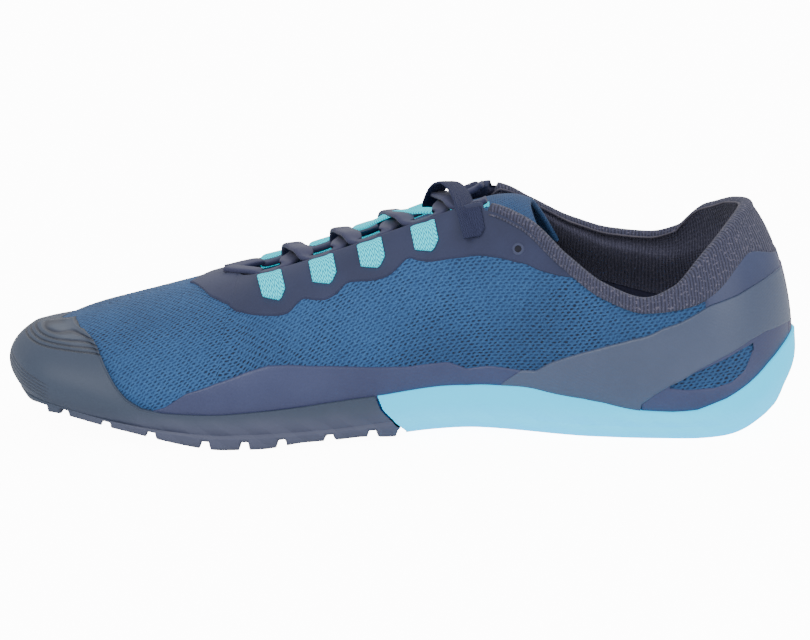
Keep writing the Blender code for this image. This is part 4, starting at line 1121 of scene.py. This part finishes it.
def at_level(points, height):
    return stack(points[..., 0], points[..., 1], underside(points[..., 0], points[..., 1]) + height)


def build_footbed():
    places = even(-HEEL, HEEL, 1 / 6)
    inset = UPPER_WALL + INSOLE_MARGIN
    low = LUG_DEPTH + FLOOR_THICKNESS + FIT_GAP
    edge = foot_edge(places) - outward(places) * inset
    middle = spine(places)
    rows = [at_level(edge, low), at_level(edge, low + 0.8 * INSOLE_THICKNESS)]
    for share in np.linspace(0.03, 1.0, 12):
        rows.append(at_level(edge + (middle - edge) * share, low + INSOLE_THICKNESS))
    return Sheets().add(np.stack(rows), turned=True).finish("footbed", FOOTBED, "footbed", ["insole"])


# Soles

def lug_share(x, inset):
    """1 on an edge lug of the front sole and 0 in the slots between them."""
    share = x / LENGTH + 0.5
    away = np.full(x.shape, 1.0)
    for edge in EDGE_LUGS:
        away = np.minimum(away, np.abs(share - edge) * LENGTH - 0.5 * LUG_SLOT)
    away = np.where((share < EDGE_LUGS[0]) | (share > EDGE_LUGS[-1]), -1.0, away)
    return smooth(np.minimum(away, FRONT_LUG_WIDTH - inset), 0.0, LUG_BEVEL)


def inner_lug_centres():
    """Centre, half length and half width of each chevron under the sole."""
    found = []
    for first, last, rows, edge_width in INNER_FIELDS:
        pitch = (last - first) / rows
        for row in range(rows):
            share = first + (row + 0.5) * pitch
            limits = []
            for sign in (MEDIAL, LATERAL):
                places = np.linspace(0.0, HEEL, 400) * sign
                shares = read(FOOT_X, places)
                beside = np.abs(shares - share) < 0.6 * pitch
                near = np.abs(across(read(FOOT_Y, places)))[beside].min()
                limits.append(sign * (near + BASE_FLARE - LUG_BEVEL - edge_width - LUG_SLOT))
            lane = (limits[1] - limits[0]) / 3
            half = 0.5 * (pitch * LENGTH - LUG_SLOT) - LUG_NOSE
            for k in range(3):
                found.append((along(share), limits[0] + (k + 0.5) * lane, half, 0.5 * (lane - LUG_SLOT)))
    return found


INNER_LUGS = inner_lug_centres()


def tread(points, inset, rim):
    """How far the tread is sunk at places under the sole."""
    x, y = points[..., 0], points[..., 1]
    raised = 1.0 - smooth(inset, RIM_WIDTH, RIM_WIDTH + 0.5 * LUG_DEPTH) if rim else lug_share(x, inset)
    for centre_x, centre_y, half, wide in INNER_LUGS:
        dx, dy = np.abs(x - centre_x), np.abs(y - centre_y)
        room = np.minimum(wide - dy, half + LUG_NOSE * (1.0 - dy / wide) - dx)
        raised = np.maximum(raised, smooth(room, 0.0, LUG_BEVEL))
    return LUG_DEPTH * (1.0 - raised)


TOE_SWELL = 2.3 * MM
TOE_SWELL_START = (0.0, 0.6)
TOE_SWELL_END = (0.72, 1.0)
TOE_SWELL_SECTIONS = (0.5, 3.6)
CAP_RIM = 0.4 * MM
CAP_RIM_START = (0.93, 0.97)
CAP_RIM_SECTIONS = ((1.5, 3.5), (5.0, 6.0))


def cap_swell(u, share):
    """How much fuller the toe cap is than the form: blunt in front, with a raised rim."""
    section = np.abs(wrapped(u))
    profile = smooth(share, *TOE_SWELL_START) * (1.0 - smooth(share, *TOE_SWELL_END))
    first, last = CAP_RIM_SECTIONS
    rim = smooth(share, *CAP_RIM_START) * (1.0 - smooth(section, *last)) * smooth(section, *first)
    return TOE_SWELL * profile * (1.0 - smooth(section, *TOE_SWELL_SECTIONS)) + CAP_RIM * rim


HEEL_TUCK = (18.3, 20.8)
HEEL_TUCK_POWER = 1.6
REAR_FLARE = 2.8 * MM
TOE_FLARE = 0.7 * MM
TOE_FLARE_SECTIONS = (3.0, 5.5)
TOE_LIFT = 2.1 * MM
TOE_LIFT_START = (0.0, 0.10)
TOE_LIFT_END = (0.15, 0.29)
TIP_DROP = 2.0 * MM
TIP_DROP_END = (0.02, 0.08)
FRONT_LIFT = 1.5 * MM
FRONT_LIFT_START = (0.33, 0.39)
FRONT_LIFT_END = (0.45, 0.50)
WALL_FOOT = LUG_DEPTH + FLOOR_THICKNESS
THIN_HEEL = (0.15, 0.8)
THIN_TOE = (0.75, 1.0)
THIN_TOE_SECTIONS = (2.0, 4.0)
THIN_EDGE = (0.0, 0.7)
LIP = (
    # share of the cup's height, distance from the form, on its inside
    (0.85, -0.1 * MM, True),
    (0.97, 0.0, True),
    (0.995, 0.4 * FIT_GAP, True),
    (1.0, FIT_GAP + 0.55 * CUP_EDGE, False),
)
FRONT_EDGE = (
    # in from the flare and height on a lug, then in from the flare and height in a slot
    (0.0, LUG_DEPTH + 0.3 * MM, 0.6 * MM, LUG_DEPTH + 0.6 * MM),
    (0.2 * MM, 1.4 * MM, 1.4 * MM, LUG_DEPTH + 0.1 * MM),
    (0.5 * MM, 0.4 * MM, 1.5 * MM, LUG_DEPTH),
    (1.0 * MM, 0.0, 1.6 * MM, LUG_DEPTH),
)


def base_point(u, reach, height):
    """A point of the sole's outer base: bevelled under the heel, lifted under the toe."""
    section = np.abs(wrapped(u))
    heel = smooth(section, *HEEL_TUCK)
    toe = 1.0 - smooth(section, *TOE_FLARE_SECTIONS)
    edge = foot_edge(u)
    reach = reach - toe * TOE_FLARE
    reach = reach * (1.0 - heel) - heel * WALL_FOOT * (1.0 - height / WALL_FOOT) ** HEEL_TUCK_POWER
    share = edge[..., 0] / LENGTH + 0.5
    lift = TOE_LIFT * smooth(share, *TOE_LIFT_START) * (1.0 - smooth(share, *TOE_LIFT_END))
    lift = lift - TIP_DROP * (1.0 - smooth(share, *TIP_DROP_END))
    lift = lift + FRONT_LIFT * smooth(share, *FRONT_LIFT_START) * (1.0 - smooth(share, *FRONT_LIFT_END))
    point = edge + outward(u) * reach[..., None]
    return at_level(point, height + lift * (1.0 - height / WALL_FOOT))


def sole_rows(rim, wall_rows):
    """The rows of one sole as functions of place: lip, side wall, lugs and tread."""
    def skin(share, offset, inner=False):
        def row(u):
            t = share * cup_share(u)
            section = np.abs(wrapped(u))
            heel = smooth(section, *HEEL_TUCK) * (1.0 - smooth(share, *THIN_HEEL))
            toe = (1.0 - smooth(section, *THIN_TOE_SECTIONS)) * smooth(share, *THIN_TOE)
            thickness = FIT_GAP * (1.0 - 0.6 * toe) + (offset - FIT_GAP) * (1.0 - heel) * (1.0 - toe)
            swell = 0.0 if inner else cap_swell(u, share)
            return form(u, t) + normal(u, t) * (thickness + swell)[..., None]
        return row

    def base(reach, height):
        def row(u):
            return base_point(u, reach, height)
        return row

    def lug_wall(reach, height, notch_reach, notch_height):
        def row(u):
            edge = foot_edge(u)
            on_lug = lug_share(edge[..., 0], np.zeros(edge.shape[:-1]))
            return base_point(u, notch_reach + (reach - notch_reach) * on_lug,
                              notch_height + (height - notch_height) * on_lug)
        return row

    def bottom(share, start):
        def row(u):
            edge = base_point(u, start, 0.0)
            point = edge + (spine(u) - edge) * share
            inset = np.linalg.norm((edge - point)[..., :2], axis=-1)
            lift = (edge[..., 2] - underside(edge[..., 0], edge[..., 1])) * (1.0 - smooth(share, 0.0, 0.5))
            return at_level(point, tread(point, inset, rim) + lift)
        return row

    rows = [skin(*row) for row in LIP]
    for share in np.linspace(0.99, 0.0, wall_rows):
        wall = CUP_EDGE + (CUP_WALL - CUP_EDGE) * smooth(1.0 - share, *THIN_EDGE)
        rows.append(skin(share, FIT_GAP + wall))
    flare = REAR_FLARE if rim else BASE_FLARE
    rows.append(base(flare, LUG_DEPTH + EDGE_ROLL))
    if rim:
        for angle in np.linspace(0.0, 0.5 * math.pi, 8)[1:]:
            reach = flare - RIM_ROLL * (1.0 - math.cos(angle))
            rows.append(base(reach, (LUG_DEPTH + 0.5 * EDGE_ROLL) * (1.0 - math.sin(angle))))
        start = flare - RIM_ROLL
    else:
        rows.append(base(BASE_FLARE, LUG_DEPTH + 1.3 * MM))
        for inset, height, slot_inset, slot_height in FRONT_EDGE:
            rows.append(lug_wall(BASE_FLARE - inset, height, BASE_FLARE - slot_inset, slot_height))
        start = BASE_FLARE - slot_inset
    for share in np.linspace(0.0, 1.0, 46):
        rows.append(bottom(share, start))
    return rows


JOINT_SECTIONS = (9.0, 14.0)


def split_x(z, shift):
    """Where the joint between the two soles lies at a height."""
    heights = np.array([p[1] for p in SPLIT])[::-1] * INSTEP_HEIGHT
    shares = np.array([p[0] for p in SPLIT])[::-1]
    return along(np.interp(z, heights, shares)) + shift


def joint_place(row, sign, shift):
    """The place on one side at which a row of the sole meets the joint."""
    places = np.linspace(*JOINT_SECTIONS, 400) * sign
    points = row(places)
    beyond = points[..., 0] > split_x(points[..., 2], shift)
    return abs(places[np.argmax(beyond)])


def build_sole(name, rows, front, count, material, slot, node):
    shift = -0.5 * SPLIT_GAP if front else 0.5 * SPLIT_GAP
    grid = []
    for row in rows:
        medial = joint_place(row, MEDIAL, shift)
        lateral = joint_place(row, LATERAL, shift)
        first, last = (-medial, lateral) if front else (lateral, 2 * HEEL - medial)
        grid.append(row(np.linspace(first, last, count)))
    return Sheets().add(np.stack(grid)).finish(name, material, slot, [node])


def build_soles():
    build_sole("front_sole", sole_rows(False, 60), True, 760, DARK_RUBBER, "dark_rubber", "outsole_front")
    build_sole("rear_sole", sole_rows(True, 40), False, 640, BRIGHT_RUBBER, "bright_rubber", "outsole_rear")


# Lacing

def edge_place(sign, share):
    """The place on one side whose top edge lies at a share of the length."""
    places = np.linspace(2.0, HEEL, 2000)
    return sign * np.interp(share, read(TOP_X, places * sign), places)


def beside_throat(sign, share, out, height):
    """A point near the throat's edge: out from it and above the upper."""
    u = edge_place(sign, share)
    if out > 0.0:
        t = at_distance(u, out)[0]
        return form(u, t) + normal(u, t) * height
    edge = form(u, 1.0)
    inward = unit(edge - form(u, at_distance(u, 2.0 * MM)[0]))
    return edge - inward * out + normal(u, 1.0) * height


def ribbon(points, faces, width, thickness, columns):
    """A flat band with rounded edges along a path, closed at both ends."""
    width = np.broadcast_to(width, len(points))
    run = unit(np.gradient(points, axis=0))
    sideways = unit(np.cross(run, faces))
    faces = unit(np.cross(sideways, run))
    angles = np.linspace(0.0, 2.0 * math.pi, 4 * columns + 1)
    side = np.sign(np.cos(angles)) * np.abs(np.cos(angles)) ** 0.5
    rise = np.sign(np.sin(angles)) * np.abs(np.sin(angles)) ** 0.7
    grid = (points[:, None] + sideways[:, None] * (side[None, :, None] * 0.5 * width[:, None, None])
            + faces[:, None] * (rise[None, :, None] * 0.5 * thickness))
    start = np.broadcast_to(points[0], grid[:1].shape)
    end = np.broadcast_to(points[-1], grid[:1].shape)
    grid = np.concatenate([start, grid, end])
    walked = np.concatenate([[0.0], np.cumsum(np.linalg.norm(np.diff(points, axis=0), axis=-1))])
    walked = np.concatenate([[walked[0]], walked, [walked[-1]]])
    places = np.stack(np.broadcast_arrays(0.5 * width.max() * side[None, :], walked[:, None]), -1)
    return grid, places


def band(table, count, face_of, thickness, columns):
    """A ribbon through a table of x, y, z and width in millimetres."""
    table = interpolated(table, count)
    points = table[:, :3] * MM
    return ribbon(points, face_of(points), table[:, 3] * MM, thickness, columns)


LOOP_THICKNESS = 0.9 * MM
LOOP_LEAN = 0.20
LOOP_LENGTH = 22.0 * MM
LOOP_LANES = (-1.0, -0.96, -0.86, -0.7, -0.5, -0.25, 0.0, 0.25, 0.5, 0.7, 0.86, 0.96, 1.0)
OVER_EDGE = (
    # out from the throat's edge and height over the upper, in millimetres
    (9.5, 1.05), (7.0, 1.05), (4.0, 1.05), (2.2, 1.1), (1.3, 1.1), (0.5, 1.0), (-0.4, 0.6), (-1.1, -0.3),
    (-1.5, -1.5), (-1.1, -2.6), (-0.2, -3.2), (1.2, -3.3),
)
THROUGH_SLOT = (
    (9.5, 1.05), (7.0, 1.05), (4.0, 1.05), (2.0, 1.05), (1.55, 0.95), (1.3, 0.3), (0.9, -0.2), (0.2, -0.5),
    (-0.6, -0.9), (-1.2, -1.8), (-1.1, -2.6), (-0.2, -3.2), (1.2, -3.3),
)
POINTED = (
    # lane from the toe's side to the heel's, how far down the tab reaches in millimetres
    (-1.0, 10.2), (0.35, 12.2), (1.0, 8.8),
)
LOOPS = (
    # medial, lateral, size of the tab, its width
    (0.335, 0.330, 1.28, 8.0 * MM),
    (0.402, 0.392, 1.10, 8.0 * MM),
    (0.464, 0.453, 1.00, 8.0 * MM),
    (0.532, 0.517, 0.95, 7.8 * MM),
    (0.592, 0.580, 0.92, 6.8 * MM),
)


def build_loop(number, sign, share, size, width, material, slot):
    """A short tape: a cut tab sewn to the facing, folded over the throat's edge."""
    side = "medial" if sign == MEDIAL else "lateral"
    path = interpolated(THROUGH_SLOT if sign == MEDIAL else OVER_EDGE, 48) * MM
    half = 0.5 * width / LENGTH
    run = unit(np.gradient(path, axis=0))
    lanes = np.array(LOOP_LANES)
    top = np.zeros((len(path), len(lanes), 3))
    bottom = np.zeros_like(top)
    for j, lane in enumerate(lanes):
        reach = size * along_line(POINTED, lane) * MM
        rounding = 0.5 * LOOP_THICKNESS * (1.0 - abs(lane) ** 8)
        for k, (out, height) in enumerate(path):
            out = out * (reach / path[0][0]) if out > 0.0 else out
            place = share + lane * half + LOOP_LEAN * out / LENGTH
            x, y = -run[k][1] * rounding, run[k][0] * rounding
            top[k, j] = beside_throat(sign, place, out - x, height - y)
            bottom[k, j] = beside_throat(sign, place, out + x, height + y)
    around = np.concatenate([top, bottom[:, ::-1], top[:, :1]], axis=1)
    middle = 0.5 * (top + bottom)
    start = np.concatenate([middle[:1], middle[:1, ::-1], middle[:1, :1]], axis=1)
    end = np.concatenate([middle[-1:], middle[-1:, ::-1], middle[-1:, :1]], axis=1)
    grid = np.concatenate([start, around, end])
    x = np.concatenate([lanes, lanes[::-1], lanes[:1]]) * 0.5 * width
    y = np.linspace(0.0, LOOP_LENGTH, len(grid))
    Sheets().add(grid, stack(x[None, :], y[:, None], 0.0)[..., :2], turned=sign == LATERAL).finish(
        f"loop_{side}_{number}", material, slot, [f"lace_loop_{side}_{number}"])


STRAP = (
    # x, y, z and width in millimetres
    (25.0, -27.2, 66.0, 6.8), (23.9, -25.6, 69.4, 6.8), (22.3, -21.4, 73.4, 6.8), (20.6, -15.5, 75.9, 6.8),
    (18.6, -10.0, 77.4, 6.8), (16.0, -5.0, 77.9, 6.8), (13.4, -1.5, 76.6, 6.8), (11.6, 1.0, 74.3, 6.6),
    (10.2, 4.0, 71.4, 6.2), (8.8, 7.5, 68.0, 5.6), (8.2, 10.5, 64.5, 5.0),
)
STRAP_CENTRE = np.array((16.0, -9.0, 62.0)) * MM
STRAP_THICKNESS = 1.1 * MM


def build_strap():
    """The dark tape that stands up in an arch over the top of the tongue."""
    strap = band(STRAP, 60, lambda points: points - STRAP_CENTRE, STRAP_THICKNESS, 9)
    Sheets().add(*strap).finish("arch_strap", DARK_WEBBING, "facing")


def build_loops():
    for number, (medial, lateral, size, width) in enumerate(LOOPS, start=1):
        dark = number == len(LOOPS)
        material = DARK_WEBBING if dark else WEBBING
        slot = "facing" if dark else "webbing"
        build_loop(number, MEDIAL, medial, size, width, material, slot)
        build_loop(number, LATERAL, lateral, size, width, material, slot)
    build_strap()


CORD = (
    # x, y, z and width in millimetres
    (29.0, -8.0, 71.4, 2.4), (25.6, -8.0, 71.0, 2.4), (21.0, -8.0, 70.2, 2.2), (17.0, -9.0, 70.0, 2.0),
    (12.6, -12.5, 70.6, 2.4), (8.0, -11.5, 70.4, 2.6), (2.7, -8.0, 69.0, 2.6), (-2.7, -3.5, 67.0, 2.8),
    (-7.0, 0.0, 64.4, 3.6), (-10.0, 3.5, 61.9, 5.0), (-13.0, 7.0, 60.0, 5.0), (-16.5, 10.5, 58.2, 3.0),
)
CORD_FACE = (0.0, -0.45, 1.0)
CORD_THICKNESS = 1.3 * MM


def build_cord():
    """The flat bright cord that crosses over the lace from one loop to another."""
    cord = band(CORD, 60, lambda points: CORD_FACE, CORD_THICKNESS, 7)
    Sheets().add(*cord).finish("cross_cord", WEBBING, "webbing")


LACE_THICKNESS = 1.9 * MM
LACE_FACE = (0.0, 0.0, 1.0)
LACE_PASS = (
    # along the shoe, in from the throat's edge, up from it, width: all in millimetres
    (-5.0, 3.4, 0.6, 5.0),
    (-2.5, 3.0, -0.6, 4.4),
    (2.5, 3.0, -0.6, 4.4),
    (5.0, 3.4, 0.4, 5.0),
)
OVER = ((0.22, 3.4), (0.5, 3.0), (0.8, 2.2))
UNDER = ((0.25, 0.4), (0.5, 0.2), (0.75, 0.4))
CROSS_WIDTH = 6.4
LACE_START = (-57.0, -1.0, 47.6, 5.6)


def lace_pass(sign, share):
    """Points and widths of the lace through one loop, front to rear, in millimetres."""
    found = []
    for x, inside, up, width in LACE_PASS:
        edge = form(edge_place(sign, share + x * MM / LENGTH), 1.0) / MM
        found.append((edge[0], edge[1] - sign * inside, edge[2] + up, width))
    return found


def crossing(start, end, heights):
    """Points of the lace between two loops, lifted over the straight way."""
    start, end = np.array(start), np.array(end)
    found = []
    for share, lift in heights:
        point = start + (end - start) * share
        found.append((point[0], point[1], point[2] + lift, CROSS_WIDTH))
    return found


def build_lace():
    """One lace: a bar across the front, then both ends cross from loop to loop."""
    sheets = Sheets()
    for _, sign in SIDES:
        table = [LACE_START]
        for medial, lateral, _, _ in LOOPS:
            points = lace_pass(sign, medial if sign == MEDIAL else lateral)
            if len(table) > 1:
                table += crossing(table[-1], points[0], OVER if sign == MEDIAL else UNDER)
            table += points
            sign = -sign
        sheets.add(*band(table, 14 * len(table), lambda points: LACE_FACE, LACE_THICKNESS, 7))
    return sheets.finish("lace_band", LACE_WEAVE, "lace", ["lace"])


# Stage, light and camera

CAMERA_AZIMUTH = math.radians(4.6)
CAMERA_HEIGHT = math.radians(16.9)
CAMERA_ROLL = math.radians(1.0)
CAMERA_DISTANCE = 1.40
CAMERA_LENS = 189.8
AIM = Vector((0.4 * MM, 0.0, 29.9 * MM))
SENSOR_WIDTH = 36.0
BACKDROP = 12.0
WORLD_LIGHT = 0.75
FLOOR_REACH = 6.0


def seen_only(tree):
    """1 where the camera looks straight at a surface and 0 for light that bounces off it."""
    return tree.nodes.new("ShaderNodeLightPath").outputs["Is Camera Ray"]


def build_stage():
    """White paper under the shoe and a white studio round it, bright to the eye only."""
    floor_mesh = bpy.data.meshes.new("floor")
    corners = [(x * FLOOR_REACH, y * FLOOR_REACH, 0) for x, y in ((-1, -1), (1, -1), (1, 1), (-1, 1))]
    floor_mesh.from_pydata(corners, [], [(0, 1, 2, 3)])
    floor = bpy.data.objects.new("floor", floor_mesh)
    bpy.context.scene.collection.objects.link(floor)
    paper = Finish("floor_paper", 0.9)
    paper.set("Base Color", (0.92, 0.93, 0.94, 1.0))
    paper.set("Emission Color", (1.0, 1.0, 1.0, 1.0))
    paper.set("Emission Strength", paper.times(seen_only(paper.tree), BACKDROP))
    floor_mesh.materials.append(paper.material)
    world = bpy.data.worlds.new("studio")
    world.use_nodes = True
    tree = world.node_tree
    strength = tree.nodes.new("ShaderNodeMapRange")
    tree.links.new(seen_only(tree), strength.inputs["Value"])
    strength.inputs["To Min"].default_value = WORLD_LIGHT
    strength.inputs["To Max"].default_value = BACKDROP
    tree.nodes["Background"].inputs["Color"].default_value = (0.99, 0.99, 1.0, 1.0)
    tree.links.new(strength.outputs[0], tree.nodes["Background"].inputs["Strength"])
    bpy.context.scene.world = world


LIGHTS = (
    # name, place, size, power
    ("key", (-0.7, -1.1, 1.3), 1.2, 14.0),
    ("fill", (1.1, -0.9, 0.7), 1.2, 6.8),
    ("back", (0.2, 1.2, 1.1), 1.0, 7.0),
)
LIGHT_TARGET = Vector((0.0, 0.0, 0.04))


def build_lights():
    for name, place, size, power in LIGHTS:
        data = bpy.data.lights.new(name, "AREA")
        data.size = size
        data.energy = power
        lamp = bpy.data.objects.new(name, data)
        lamp.location = place
        lamp.rotation_euler = (LIGHT_TARGET - Vector(place)).to_track_quat("-Z", "Y").to_euler()
        bpy.context.scene.collection.objects.link(lamp)


def build_camera():
    data = bpy.data.cameras.new("camera")
    data.lens = CAMERA_LENS
    data.sensor_width = SENSOR_WIDTH
    camera = bpy.data.objects.new("camera", data)
    back = Vector((math.sin(CAMERA_AZIMUTH) * math.cos(CAMERA_HEIGHT),
                   -math.cos(CAMERA_AZIMUTH) * math.cos(CAMERA_HEIGHT), math.sin(CAMERA_HEIGHT)))
    camera.location = AIM + back * CAMERA_DISTANCE
    turn = Quaternion((0.0, 0.0, 1.0), -CAMERA_ROLL)
    camera.rotation_euler = ((-back).to_track_quat("-Z", "Y") @ turn).to_euler()
    bpy.context.scene.collection.objects.link(camera)
    bpy.context.scene.camera = camera


def main():
    build_upper()
    build_lining()
    build_overlays()
    build_heel_strip()
    build_facings()
    build_cuff()
    build_tongue()
    build_footbed()
    build_soles()
    build_loops()
    build_cord()
    build_lace()
    build_stage()
    build_lights()
    build_camera()


main()
